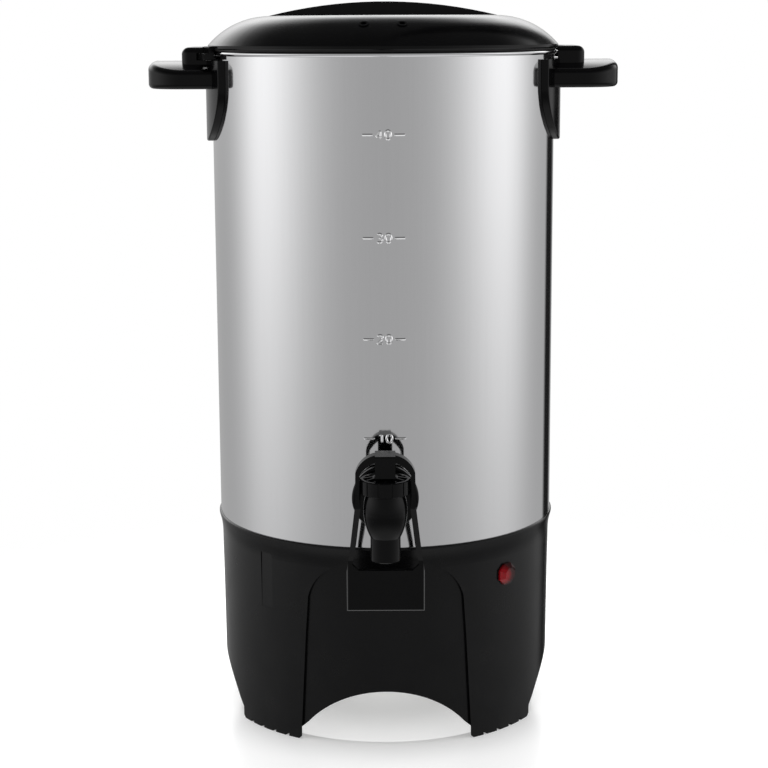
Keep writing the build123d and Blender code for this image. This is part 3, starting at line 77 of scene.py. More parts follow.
# Angles where the studio's light changes: elevations, then azimuths from the tap's side
CEILING = (radians(12), radians(50))  # the room darkens upwards
LOW = (radians(-21), radians(-16))  # the light recovers from its low shade
FLOOR = (radians(-55), radians(-28))  # the light of the floor close to the urn ends
BACK_WALL = (radians(105), radians(150))  # the wall behind comes in
FLAG_START = (radians(140), radians(146))  # one edge of the black flag
FLAG_END = (radians(157), radians(167))  # its other edge

# The floor's glow, by the distance from the tank's axis, is painted light and shade: under the urn
# it is painted shade in the middle and painted light towards the feet, and just beside the feet it
# is a painted shadow that lightens towards the open floor
UNDER_END = 86 * MM  # where the floor under the urn gives way to the floor beside it
UNDER_RADII = (35 * MM, 90 * MM)  # the glow grows under the urn
UNDER_PAINTED_SHARES = (0.56, 1.0)
BESIDE_RADII = (UNDER_END, 125 * MM)  # and grows again beside it
BESIDE_PAINTED_SHARES = (0.5, 0.8)
FADE = (0.55, 0.98)  # shares of the floor's radius where it starts to fade and is gone


# ---------------------------------------------------------------- Settings
class UrnFinishes(bpy.types.PropertyGroup):
    steel_tint: FloatVectorProperty(
        name="Steel", description="Colour of the polished wall", subtype="COLOR",
        size=3, min=0, max=1, default=(0.74, 0.74, 0.75),
    )
    steel_roughness: FloatProperty(
        name="Steel roughness", description="How much the polished wall blurs what it mirrors",
        min=0, max=1, default=0.07, subtype="FACTOR",
    )
    plastic_tint: FloatVectorProperty(
        name="Black plastic", description="Colour of the moulded pieces", subtype="COLOR",
        size=3, min=0, max=1, default=(0.003, 0.003, 0.0033),
    )
    grain_size: FloatProperty(
        name="Moulded grain", description="Size of the grain on the satin base",
        unit="LENGTH", default=0.5 * MM,
    )
    lens_tint: FloatVectorProperty(
        name="Signal lens", description="Colour of the signal lamp's jewel", subtype="COLOR",
        size=3, min=0, max=1, default=(0.42, 0.005, 0.012),
    )
    edge_band: FloatProperty(
        name="Polished edge", unit="LENGTH", default=0.9 * MM,
        description="Width of the polished band along the paddle's sides and lower edge",
    )


class UrnMarks(bpy.types.PropertyGroup):
    first_level: FloatProperty(
        name="First level", description="Height of the lowest mark over the floor",
        unit="LENGTH", default=172.1 * MM,
    )
    level_step: FloatProperty(
        name="Level step", description="Height between two marks", unit="LENGTH",
        default=52.9 * MM,
    )
    levels: IntProperty(name="Levels", description="How many marks the wall has", default=4)
    digit_height: FloatProperty(
        name="Digit height", description="Height of a numeral", unit="LENGTH",
        default=4.45 * MM,
    )
    digit_width: FloatProperty(
        name="Digit width", description="Width of a numeral", unit="LENGTH",
        default=2.9 * MM,
    )
    digit_gap: FloatProperty(
        name="Digit gap", description="Space between the two numerals", unit="LENGTH",
        default=1.7 * MM,
    )
    stroke: FloatProperty(
        name="Stroke", description="Width of a raised line", unit="LENGTH", default=1.25 * MM,
    )
    proud: FloatProperty(
        name="Proud", description="How far a raised line stands off the wall",
        unit="LENGTH", default=0.5 * MM,
    )
    tick_start: FloatProperty(
        name="Tick start", description="Where a tick starts beside the numerals",
        unit="LENGTH", default=5.3 * MM,
    )
    tick_end: FloatProperty(
        name="Tick end", description="Where a tick ends beside the numerals",
        unit="LENGTH", default=11.3 * MM,
    )


class UrnSpring(bpy.types.PropertyGroup):
    turns: IntProperty(name="Turns", description="Turns of the spring over the stem", default=6)
    wire: FloatProperty(
        name="Wire", description="Thickness of the spring's wire", unit="LENGTH",
        default=0.9 * MM,
    )
    travel: FloatProperty(
        name="Travel", description="How far a full push of the lever shortens the spring",
        unit="LENGTH", default=1.4 * MM,
    )


class UrnStage(bpy.types.PropertyGroup):
    camera_distance: FloatProperty(
        name="Camera distance", description="From the tank's axis to the camera, level",
        unit="LENGTH", default=1.06119,
    )
    camera_side: FloatProperty(
        name="Camera side", description="From the tank's axis to the camera, to the right",
        unit="LENGTH", default=-0.4 * MM,
    )
    camera_height: FloatProperty(
        name="Camera height", description="Camera over the floor", unit="LENGTH",
        default=0.3857,
    )
    camera_pitch: FloatProperty(
        name="Camera pitch", description="How far the camera looks down", unit="ROTATION",
        subtype="ANGLE", default=radians(10.8),
    )
    camera_roll: FloatProperty(
        name="Camera roll", description="How far the camera leans", unit="ROTATION",
        subtype="ANGLE", default=radians(-0.29),
    )
    camera_lens: FloatProperty(
        name="Lens", description="Focal length in millimetres on a 36 mm sensor", default=88.11,
    )
    floor_radius: FloatProperty(
        name="Floor radius", description="Where the pale floor has faded out",
        unit="LENGTH", default=0.42,
    )
    room_light: FloatProperty(
        name="Room", description="Brightness of the room in front of the urn", default=0.44,
    )
    ceiling_light: FloatProperty(
        name="Ceiling", description="Brightness that is left of the room overhead", default=0.1,
    )
    side_light: FloatProperty(
        name="Side lights", description="Brightness that the two side lights add", default=0.86,
    )
    side_azimuth: FloatProperty(
        name="Side azimuth", description="Where the side lights stand, from the tap's side",
        unit="ROTATION", subtype="ANGLE", default=radians(87),
    )
    side_spread_front: FloatProperty(
        name="Front spread", description="How softly a side light ends towards the front",
        unit="ROTATION", subtype="ANGLE", default=radians(37),
    )
    side_spread_back: FloatProperty(
        name="Back spread", description="How softly a side light ends towards the back",
        unit="ROTATION", subtype="ANGLE", default=radians(27),
    )
    side_height: FloatProperty(
        name="Side height", description="Elevation of the side lights' middle",
        unit="ROTATION", subtype="ANGLE", default=radians(4),
    )
    side_spread_up: FloatProperty(
        name="Upward spread", description="How softly a side light ends upwards and downwards",
        unit="ROTATION", subtype="ANGLE", default=radians(17),
    )
    back_light: FloatProperty(
        name="Back wall", description="Brightness that the wall behind adds", default=1.9,
    )
    back_height: FloatProperty(
        name="Back wall height", description="Elevation of the back wall's middle",
        unit="ROTATION", subtype="ANGLE", default=radians(20),
    )
    back_spread: FloatProperty(
        name="Back wall spread", description="How softly the back wall ends upwards and downwards",
        unit="ROTATION", subtype="ANGLE", default=radians(12),
    )
    flag_shade: FloatProperty(
        name="Flag", description="Share of the light that the black flag takes away",
        min=0, max=1, default=0.97, subtype="FACTOR",
    )
    low_shade: FloatProperty(
        name="Low shade", description="Share of the light that is left well below the horizon",
        min=0, max=1, default=0.6, subtype="FACTOR",
    )
    floor_light: FloatProperty(
        name="Floor light", description="Brightness that the floor close to the urn sends up",
        default=0.6,
    )
    floor_glow: FloatProperty(
        name="Floor glow", description="Brightness that the floor has by itself", default=0.59,
    )
    top_light: FloatProperty(
        name="Overhead", description="Power of the overhead softbox", unit="POWER", default=14.0,
    )
    top_size: FloatProperty(
        name="Overhead size", description="Side of the overhead softbox", unit="LENGTH",
        default=1.2,
    )
    top_place: FloatVectorProperty(
        name="Overhead place", description="Middle of the overhead softbox", unit="LENGTH",
        subtype="TRANSLATION", size=3, default=(0, 0.1, 1.3),
    )


# ---------------------------------------------------------------- Meshes
def grid_faces(rows, columns, close_rows, close_columns, first=0):
    """Quads between neighbours of a grid of points, as an index array.

    Row i and column j have index first + i * columns + j. A closed direction joins its last
    line to its first one.
    """
    i = np.arange(rows if close_rows else rows - 1)[:, None]
    j = np.arange(columns if close_columns else columns - 1)[None, :]
    next_i = (i + 1) % rows
    next_j = (j + 1) % columns
    quad = [i * columns + j, i * columns + next_j,
            next_i * columns + next_j, next_i * columns + j]
    quad = [np.broadcast_to(corner, (i.size, j.size)).ravel() for corner in quad]
    return first + np.stack(quad, axis=1)


def object_from_grids(name, grids, body):
    """One object from several grids, given as (points, close_rows, close_columns)."""
    points = []
    faces = []
    first = 0
    for grid, close_rows, close_columns in grids:
        rows, columns = grid.shape[:2]
        points.append(grid.reshape(-1, 3))
        faces.append(grid_faces(rows, columns, close_rows, close_columns, first))
        first += rows * columns
    mesh = bpy.data.meshes.new(name)
    mesh.from_pydata(np.concatenate(points).tolist(), [], np.concatenate(faces).tolist())
    merged = bmesh.new()
    merged.from_mesh(mesh)
    bmesh.ops.remove_doubles(merged, verts=merged.verts, dist=MERGE)
    bmesh.ops.recalc_face_normals(merged, faces=merged.faces)
    merged.to_mesh(mesh)
    merged.free()
    mesh.shade_smooth()
    made = bpy.data.objects.new(name, mesh)
    bpy.context.scene.collection.objects.link(made)
    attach(made, body)
    return made


def line(start, end, count=12):
    """Straight run: start + t (end - start) for t from 0 to 1."""
    t = np.linspace(0, 1, count)[:, None]
    return np.asarray(start, float) * (1 - t) + np.asarray(end, float) * t


def arc(centre, radii, start, end, count=24):
    """Elliptic run: centre + (rx cos a, ry sin a), a in degrees from start to end."""
    a = np.radians(np.linspace(start, end, count))
    return np.stack([centre[0] + radii[0] * np.cos(a), centre[1] + radii[1] * np.sin(a)], axis=1)


def joined(*runs):
    """Runs one after another, without the point that two runs share."""
    return np.concatenate([runs[0]] + [run[1:] for run in runs[1:]])


def numeral(digit):
    """Strokes of a numeral in a box one wide and one high, as (points, closed)."""
    if digit == 0:
        return [(arc((0.5, 0.5), (0.5, 0.5), 0, 345), True)]
    if digit == 1:
        return [(line((0.75, 0), (0.75, 1)), False), (line((0.35, 0.78), (0.75, 1)), False)]
    if digit == 2:
        bow = arc((0.5, 0.7), (0.46, 0.3), 165, -35)
        return [(joined(bow, line(bow[-1], (0.02, 0)), line((0.02, 0), (1, 0))), False)]
    if digit == 3:
        upper = arc((0.48, 0.75), (0.44, 0.25), 150, -90)
        lower = arc((0.48, 0.25), (0.5, 0.25), 90, -150)
        return [(joined(upper, lower), False)]
    return [
        (line((0.72, 0), (0.72, 1)), False),
        (joined(line((0.72, 1), (0, 0.3)), line((0, 0.3), (1, 0.3))), False),
    ]


def raised_line(path, closed, width, proud, radius):
    """Raised line on an upright cylinder's wall.

    A diamond, as wide as the line and as high as it is proud, is carried along the path, which
    runs round the wall (first column) and up it (second). Its lower half is inside the wall:
    out = proud (1 - |cos t|) sign(sin t), across = width / 2 cos t, for t once round. Near an
    open end, at a distance d under half the width w, the section shrinks by
    sqrt(1 - (1 - 2 d / w) ** 2), which rounds the end.
    """
    if closed:
        along = (np.roll(path, -1, axis=0) - np.roll(path, 1, axis=0)) / 2
        shrink = np.ones(len(path))
    else:
        along = np.gradient(path, axis=0)
        steps = np.linalg.norm(np.diff(path, axis=0), axis=1)
        run = np.concatenate([[0], np.cumsum(steps)])
        inset = np.minimum(np.minimum(run, run[-1] - run) / (width / 2), 1)
        shrink = np.sqrt(1 - (1 - inset) ** 2)
    along /= np.linalg.norm(along, axis=1)[:, None]
    side = np.stack([-along[:, 1], along[:, 0]], axis=1)
    turn = np.linspace(0, 2 * np.pi, SECTION, endpoint=False)
    offset = (width / 2) * shrink[:, None] * np.cos(turn)[None, :]
    roof = (1 - np.abs(np.cos(turn))) * np.sign(np.round(np.sin(turn), 6))
    out = proud * shrink[:, None] * roof[None, :]
    flat = path[:, None, :] + offset[:, :, None] * side[:, None, :]
    azimuth = flat[..., 0] / radius
    r = radius + out
    grid = np.stack([r * np.sin(azimuth), -r * np.cos(azimuth), flat[..., 1]], axis=-1)
    return grid, closed, True


def coil(centre, radius, low, high, turns, wire, per_turn=32):
    """Round wire on a helix about an upright axis.

    With u from 0 to 1 and a = 2 pi turns u, the wire's middle is centre + radius (cos a, sin a)
    at the height low + (high - low) u. Its section is wire / 2 (cos t e + sin t b), where e
    points away from the axis and b is square to e and to the wire. Both ends close to a point.
    """
    u = np.linspace(0, 1, turns * per_turn + 1)
    a = 2 * np.pi * turns * u
    away = np.stack([np.cos(a), np.sin(a), 0 * a], axis=1)
    middle = radius * away + np.stack(
        [centre[0] + 0 * a, centre[1] + 0 * a, low + (high - low) * u], axis=1)
    along = np.gradient(middle, axis=0)
    along /= np.linalg.norm(along, axis=1)[:, None]
    square = np.cross(along, away)
    thick = np.full(len(u), wire / 2)
    middle = np.concatenate([middle[:1], middle, middle[-1:]])
    away = np.concatenate([away[:1], away, away[-1:]])
    square = np.concatenate([square[:1], square, square[-1:]])
    thick = np.concatenate([[0], thick, [0]])
    t = np.linspace(0, 2 * np.pi, SECTION, endpoint=False)[None, :, None]
    section = np.cos(t) * away[:, None, :] + np.sin(t) * square[:, None, :]
    return middle[:, None, :] + thick[:, None, None] * section, False, True


# ---------------------------------------------------------------- Node helpers
def add_node(tree, kind, links=None, **settings):
    """A node with its settings made and its inputs linked or set, by socket name or index."""
    made = tree.nodes.new(kind)
    for key, value in settings.items():
        setattr(made, key, value)
    for key, value in (links or {}).items():
        if isinstance(value, bpy.types.NodeSocket):
            tree.links.new(value, made.inputs[key])
        else:
            made.inputs[key].default_value = value
    return made


def calc(tree, operation, a, b=0.0, c=0.0):
    """Result of a Math node."""
    made = add_node(tree, "ShaderNodeMath", {0: a, 1: b, 2: c}, operation=operation)
    return made.outputs[0]


def ramp(tree, value, span, start, end):
    """Smooth change from start to end while the value goes over the span."""
    made = add_node(tree, "ShaderNodeMapRange",
                    {"Value": value, "From Min": span[0], "From Max": span[1],
                     "To Min": start, "To Max": end}, interpolation_type="SMOOTHSTEP")
    return made.outputs[0]


def bell(tree, value, middle, spread):
    """exp(-((value - middle) / spread) ** 2)"""
    off = calc(tree, "DIVIDE", calc(tree, "SUBTRACT", value, middle), spread)
    square = calc(tree, "MULTIPLY", off, off)
    return calc(tree, "EXPONENT", calc(tree, "MULTIPLY", square, -1.0))


def group_tree(name, inputs, outputs):
    """Empty shader node group with named sockets, given as (name, kind, default)."""
    tree = bpy.data.node_groups.new(name, "ShaderNodeTree")
    for label, kind, default in inputs:
        socket = tree.interface.new_socket(name=label, in_out="INPUT", socket_type=kind)
        socket.default_value = default
    for label, kind in outputs:
        tree.interface.new_socket(name=label, in_out="OUTPUT", socket_type=kind)
    return tree, tree.nodes.new("NodeGroupInput"), tree.nodes.new("NodeGroupOutput")


def moulded_skin_group():
    """Skin of a moulded piece: fine grain for the height and cloudy gloss for the roughness."""
    tree, given, result = group_tree(
        "moulded_skin",
        [("Tint", "NodeSocketColor", (0.004, 0.004, 0.004, 1)),
         ("Grain Scale", "NodeSocketFloat", 2000.0),
         ("Smooth", "NodeSocketFloat", 0.2),
         ("Dull", "NodeSocketFloat", 0.3)],
        [("Color", "NodeSocketColor"), ("Roughness", "NodeSocketFloat"),
         ("Height", "NodeSocketFloat")],
    )
    place = tree.nodes.new("ShaderNodeTexCoord").outputs["Object"]
    grain = add_node(tree, "ShaderNodeTexNoise",
                     {"Vector": place, "Scale": given.outputs["Grain Scale"], "Detail": 3.0})
    cloud = add_node(tree, "ShaderNodeTexNoise", {"Vector": place, "Scale": 55.0, "Detail": 4.0})
    gloss = add_node(tree, "ShaderNodeMapRange",
                     {"Value": cloud.outputs["Fac"], "From Min": 0.3, "From Max": 0.7,
                      "To Min": given.outputs["Smooth"], "To Max": given.outputs["Dull"]})
    shade = add_node(tree, "ShaderNodeMixRGB",
                     {"Fac": calc(tree, "MULTIPLY", cloud.outputs["Fac"], 0.5),
                      "Color1": given.outputs["Tint"], "Color2": (0.004, 0.004, 0.0043, 1)})
    tree.links.new(shade.outputs[0], result.inputs["Color"])
    tree.links.new(gloss.outputs[0], result.inputs["Roughness"])
    tree.links.new(grain.outputs["Fac"], result.inputs["Height"])
    return tree


def drawn_metal_group():
    """Metal with fine lines along one axis and cloudy polish."""
    tree, given, result = group_tree(
        "drawn_metal",
        [("Tint", "NodeSocketColor", (0.7, 0.7, 0.7, 1)),
         ("Stretch", "NodeSocketVector", (900.0, 900.0, 12.0)),
         ("Smooth", "NodeSocketFloat", 0.1),
         ("Dull", "NodeSocketFloat", 0.2)],
        [("Color", "NodeSocketColor"), ("Roughness", "NodeSocketFloat"),
         ("Height", "NodeSocketFloat")],
    )
    place = tree.nodes.new("ShaderNodeTexCoord").outputs["Object"]
    stretched = add_node(tree, "ShaderNodeVectorMath",
                         {0: place, 1: given.outputs["Stretch"]}, operation="MULTIPLY")
    lines = add_node(tree, "ShaderNodeTexNoise",
                     {"Vector": stretched.outputs[0], "Scale": 1.0, "Detail": 4.0})
    cloud = add_node(tree, "ShaderNodeTexNoise", {"Vector": place, "Scale": 18.0, "Detail": 3.0})
    both = calc(tree, "ADD", calc(tree, "MULTIPLY", lines.outputs["Fac"], 0.6),
                calc(tree, "MULTIPLY", cloud.outputs["Fac"], 0.4))
    polish = add_node(tree, "ShaderNodeMapRange",
                      {"Value": both, "From Min": 0.3, "From Max": 0.7,
                       "To Min": given.outputs["Smooth"], "To Max": given.outputs["Dull"]})
    shade = add_node(tree, "ShaderNodeHueSaturation",
                     {"Color": given.outputs["Tint"],
                      "Value": calc(tree, "MULTIPLY_ADD", both, 0.06, 0.97)})
    tree.links.new(shade.outputs[0], result.inputs["Color"])
    tree.links.new(polish.outputs[0], result.inputs["Roughness"])
    tree.links.new(lines.outputs["Fac"], result.inputs["Height"])
    return tree


def skin_material(name, group, values, bump, metallic=0.0, specular=0.5, coat=0.0):
    """Material that takes its colour, roughness and bump from a group."""
    material = bpy.data.materials.new(name)
    material.use_nodes = True
    tree = material.node_tree
    shader = tree.nodes["Principled BSDF"]
    skin = tree.nodes.new("ShaderNodeGroup")
    skin.node_tree = group
    for key, value in values.items():
        skin.inputs[key].default_value = value
    relief = add_node(tree, "ShaderNodeBump",
                      {"Height": skin.outputs["Height"], "Strength": bump, "Distance": 0.02 * MM})
    tree.links.new(skin.outputs["Color"], shader.inputs["Base Color"])
    tree.links.new(skin.outputs["Roughness"], shader.inputs["Roughness"])
    tree.links.new(relief.outputs["Normal"], shader.inputs["Normal"])
    shader.inputs["Metallic"].default_value = metallic
    shader.inputs["Specular IOR Level"].default_value = specular
    shader.inputs["Coat Weight"].default_value = coat
    material.diffuse_color = (*tuple(values["Tint"])[:3], 1)
    return material


def paddle_edge_group():
    """Mask of a band along the cup paddle's sides and lower edge.

    With d = min(half width - |x|, z - lower edge), the mask goes from 1 at d = 0 to 0 at
    d = the band's width.
    """
    tree, given, result = group_tree(
        "paddle_edge",
        [("Half Width", "NodeSocketFloat", 0.02), ("Low", "NodeSocketFloat", 0.05),
         ("Band", "NodeSocketFloat", 0.001)],
        [("Mask", "NodeSocketFloat")],
    )
    place = tree.nodes.new("ShaderNodeTexCoord").outputs["Object"]
    axes = add_node(tree, "ShaderNodeSeparateXYZ", {0: place}).outputs
    beside = calc(tree, "SUBTRACT", given.outputs["Half Width"], calc(tree, "ABSOLUTE", axes[0]))
    above = calc(tree, "SUBTRACT", axes[2], given.outputs["Low"])
    mask = ramp(tree, calc(tree, "MINIMUM", beside, above), (0.0, given.outputs["Band"]), 1.0, 0.0)
    tree.links.new(mask, result.inputs["Mask"])
    return tree


def edged_material(name, group, values, specular, band):
    """Black of the cup lever, whose handled edges are polished over the band's width."""
    material = skin_material(name, group, values, bump=0.05, specular=specular)
    tree = material.node_tree
    shader = tree.nodes["Principled BSDF"]
    low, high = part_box("tap_lever")
    edge = tree.nodes.new("ShaderNodeGroup")
    edge.node_tree = paddle_edge_group()
    edge.inputs["Half Width"].default_value = (high.x - low.x) / 2
    edge.inputs["Low"].default_value = low.z
    edge.inputs["Band"].default_value = band
    tree.links.new(edge.outputs["Mask"], shader.inputs["Coat Weight"])
    shader.inputs["Coat Roughness"].default_value = 0.12
    shader.inputs["Coat IOR"].default_value = 2.3
    return material


def clear_material(name, tint, roughness, transmission, ior=1.49, rim=None):
    """Clear or tinted glassy material with a faintly uneven surface.

    With rim = (centre, (inner radius, outer radius)), the colour darkens from the inner radius to
    the outer one: painted light in the jewel's middle and painted shade towards its rim.
    """
    material = bpy.data.materials.new(name)
    material.use_nodes = True
    tree = material.node_tree
    shader = tree.nodes["Principled BSDF"]
    place = tree.nodes.new("ShaderNodeTexCoord").outputs["Object"]
    wave = add_node(tree, "ShaderNodeTexNoise", {"Vector": place, "Scale": 320.0, "Detail": 2.0})
    shade = add_node(tree, "ShaderNodeMixRGB",
                     {"Fac": calc(tree, "MULTIPLY", wave.outputs["Fac"], 0.25),
                      "Color1": tint, "Color2": tuple(0.8 * c for c in tint[:3]) + (1,)})
    relief = add_node(tree, "ShaderNodeBump",
                      {"Height": wave.outputs["Fac"], "Strength": 0.1, "Distance": 0.05 * MM})
    # painted light and shade: the colour is lightest at the centre and darkens towards the rim
    if rim:
        centre, radii = rim
        away = add_node(tree, "ShaderNodeVectorMath", {0: place, 1: centre}, operation="DISTANCE")
        shade = add_node(tree, "ShaderNodeMixRGB",
                         {"Fac": ramp(tree, away.outputs["Value"], radii, 0.0, 1.0),
                          "Color1": shade.outputs[0],
                          "Color2": tuple(0.08 * c for c in tint[:3]) + (1,)})
    tree.links.new(shade.outputs[0], shader.inputs["Base Color"])
    tree.links.new(relief.outputs["Normal"], shader.inputs["Normal"])
    shader.inputs["Roughness"].default_value = roughness
    shader.inputs["Transmission Weight"].default_value = transmission
    shader.inputs["IOR"].default_value = ior
    return material


def make_materials(finishes):
    """Every finish of the record, by its slot."""
    skin = moulded_skin_group()
    metal = drawn_metal_group()
    black = (*finishes.plastic_tint, 1)
    gloss = (*(0.5 * part for part in finishes.plastic_tint), 1)
    grain = 1 / finishes.grain_size
    rough = finishes.steel_roughness
    low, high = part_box("lamp_lens")
    # the jewel's colour is painted light in its middle and painted shade towards its rim
    jewel_depth = 2.0 * MM  # how far behind its face the jewel's tint is lightest
    jewel = ((low.x + high.x) / 2, low.y + jewel_depth, (low.z + high.z) / 2)
    jewel_painted_shade_radii = (2.6 * MM, 6.6 * MM)
    polished = {"Tint": gloss, "Grain Scale": grain * 1.5, "Smooth": 0.12, "Dull": 0.18}
    polished_specular = 0.16
    upright = (900.0, 900.0, 12.0)
    spun = (60.0, 60.0, 1400.0)
    return {
        "polished_steel": skin_material(
            "polished_steel", metal,
            {"Tint": (*finishes.steel_tint, 1), "Stretch": upright,
             "Smooth": rough * 0.8, "Dull": rough * 1.25},
            bump=0.04, metallic=1.0),
        # the raised marks' steel is the wall's steel painted brighter: a painted highlight on the
        # marks
        "painted_highlight_steel": skin_material(
            "painted_highlight_steel", metal,
            {"Tint": (0.96, 0.96, 0.97, 1), "Stretch": upright, "Smooth": 0.06, "Dull": 0.1},
            bump=0.04, metallic=1.0),
        "plated_steel": skin_material(
            "plated_steel", metal,
            {"Tint": (0.6, 0.6, 0.58, 1), "Stretch": spun, "Smooth": 0.28, "Dull": 0.45},
            bump=0.12, metallic=1.0),
        "spun_aluminium": skin_material(
            "spun_aluminium", metal,
            {"Tint": (0.78, 0.78, 0.79, 1), "Stretch": spun, "Smooth": 0.25, "Dull": 0.4},
            bump=0.15, metallic=1.0),
        "stainless_pin": skin_material(
            "stainless_pin", metal,
            {"Tint": (0.7, 0.69, 0.67, 1), "Stretch": spun, "Smooth": 0.15, "Dull": 0.25},
            bump=0.08, metallic=1.0),
        "satin_black": skin_material(
            "satin_black", skin,
            {"Tint": black, "Grain Scale": grain, "Smooth": 0.2, "Dull": 0.28},
            bump=0.12, specular=0.26),
        "gloss_black": skin_material(
            "gloss_black", skin, polished, bump=0.05, specular=polished_specular),
        "lever_black": edged_material(
            "lever_black", skin, polished, polished_specular, finishes.edge_band),
        "black_nylon": skin_material(
            "black_nylon", skin,
            {"Tint": (0.012, 0.012, 0.012, 1), "Grain Scale": grain, "Smooth": 0.35, "Dull": 0.5},
            bump=0.2, specular=0.4),
        "black_rubber": skin_material(
            "black_rubber", skin,
            {"Tint": (0.008, 0.008, 0.008, 1), "Grain Scale": grain, "Smooth": 0.5, "Dull": 0.7},
            bump=0.25, specular=0.3),
        "clear_silicone": skin_material(
            "clear_silicone", skin,
            {"Tint": (0.62, 0.62, 0.6, 1), "Grain Scale": grain, "Smooth": 0.35, "Dull": 0.5},
            bump=0.1, specular=0.5),
        "red_lens": clear_material(
            "red_lens", (*finishes.lens_tint, 1), 0.04, 0.3, 1.42, (jewel, jewel_painted_shade_radii)),
        "neon_glass": clear_material("neon_glass", (0.9, 0.55, 0.4, 1), 0.05, 0.6),
    }


# ---------------------------------------------------------------- Pieces
class URN_OT_finishes(bpy.types.Operator):
    """Give every CAD piece the finish of its slot"""

    bl_idname = "urn.finishes"
    bl_label = "Finishes"

    def execute(self, context):
        materials = make_materials(context.scene.urn_finishes)
        for name, node in frame["nodes"].items():
            node.data.materials.clear()
            slot = "lever_black" if name == "tap_lever" else SLOTS[name]
            node.data.materials.append(materials[slot])
        return {"FINISHED"}


class URN_OT_cup_marks(bpy.types.Operator):
    """Raise the cup numerals and their ticks on the front of the wall"""

    bl_idname = "urn.cup_marks"
    bl_label = "Cup marks"

    def execute(self, context):
        marks = context.scene.urn_marks
        size = np.array([marks.digit_width, marks.digit_height])
        grids = []
        for level in range(marks.levels):
            height = marks.first_level + level * marks.level_step
            digits = (level + 1, 0)
            left = -marks.digit_width - marks.digit_gap / 2
            for place, digit in enumerate(digits):
                corner = np.array([left + place * (marks.digit_width + marks.digit_gap),
                                   height - marks.digit_height / 2])
                for path, closed in numeral(digit):
                    grids.append(raised_line(corner + path * size, closed, marks.stroke,
                                             marks.proud, TANK_R))
            for side in (-1, 1):
                tick = line((side * marks.tick_start, height), (side * marks.tick_end, height), 24)
                grids.append(raised_line(tick, False, marks.stroke, marks.proud, TANK_R))
        piece = object_from_grids("cup_marks", grids, "urn")
        # the marks take the brightened steel, a painted highlight
        piece.data.materials.append(bpy.data.materials["painted_highlight_steel"])
        return {"FINISHED"}


class URN_OT_stem_coil(bpy.types.Operator):
    """Wind the tap's spring round the stem; on the real tap it shortens as the lever lifts the
    stem, and the wound coil keeps one length
    """

    bl_idname = "urn.stem_coil"
    bl_label = "Stem spring"

    def execute(self, context):
        spring = context.scene.urn_spring
        low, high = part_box("stem_spring")
        centre = ((low.x + high.x) / 2, (low.y + high.y) / 2)
        radius = (high.x - low.x - spring.wire) / 2
        grid = coil(centre, radius, low.z + spring.wire / 2, high.z - spring.wire / 2,
                    spring.turns, spring.wire)
        piece = object_from_grids("stem_coil", [grid], BODIES["stem_spring"])
        piece.data.materials.append(bpy.data.materials[SLOTS["stem_spring"]])
        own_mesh(piece)
        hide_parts("stem_spring")
        return {"FINISHED"}


# ---------------------------------------------------------------- Stage
def studio_world(stage):
    """Soft room: two side lights, a pale wall behind, a dark ceiling and a black flag.

    A side light adds exp(-(u / s) ** 2) exp(-(e / h) ** 2), where u and e are the angles from
    its middle round the urn and upwards, s is its front or back spread and h its upward one.
    The wall behind ends upwards and downwards in the same way. The flag and the low shade take
    a share of all that, and the floor close to the urn adds its light at steep angles. What
    the camera sees past the floor is plain white.
    """
    world = bpy.data.worlds.new("studio")
    world.use_nodes = True
    tree = world.node_tree
    tree.nodes.clear()
    direction = tree.nodes.new("ShaderNodeTexCoord").outputs["Generated"]
    axes = add_node(tree, "ShaderNodeSeparateXYZ", {0: direction}).outputs
    azimuth = calc(tree, "ARCTAN2", axes[0], calc(tree, "MULTIPLY", axes[1], -1.0))
    elevation = calc(tree, "ARCSINE", axes[2])
    away = calc(tree, "ABSOLUTE", azimuth)

    behind = calc(tree, "GREATER_THAN", away, stage.side_azimuth)
    spread = calc(tree, "MULTIPLY_ADD", behind,
                  stage.side_spread_back - stage.side_spread_front, stage.side_spread_front)
    side = calc(tree, "MULTIPLY", bell(tree, away, stage.side_azimuth, spread),
                bell(tree, elevation, stage.side_height, stage.side_spread_up))
    wall = calc(tree, "MULTIPLY", ramp(tree, away, BACK_WALL, 0.0, 1.0),
                bell(tree, elevation, stage.back_height, stage.back_spread))
    light = calc(tree, "ADD", ramp(tree, elevation, CEILING, stage.room_light, stage.ceiling_light),
                 calc(tree, "MULTIPLY", side, stage.side_light))
    light = calc(tree, "ADD", light, calc(tree, "MULTIPLY", wall, stage.back_light))

    flag = calc(tree, "MULTIPLY", ramp(tree, azimuth, FLAG_START, 0.0, 1.0),
                ramp(tree, azimuth, FLAG_END, 1.0, 0.0))
    passed = calc(tree, "SUBTRACT", 1.0, calc(tree, "MULTIPLY", flag, stage.flag_shade))
    light = calc(tree, "MULTIPLY", light, passed)
    light = calc(tree, "MULTIPLY", light, ramp(tree, elevation, LOW, stage.low_shade, 1.0))
    light = calc(tree, "ADD", light, ramp(tree, elevation, FLOOR, stage.floor_light, 0.0))

    seen = tree.nodes.new("ShaderNodeLightPath").outputs["Is Camera Ray"]
    strength = calc(tree, "MAXIMUM", light, seen)
    shade = add_node(tree, "ShaderNodeBackground", {"Color": (1, 1, 1, 1), "Strength": strength})
    result = tree.nodes.new("ShaderNodeOutputWorld")
    tree.links.new(shade.outputs[0], result.inputs[0])
    return world


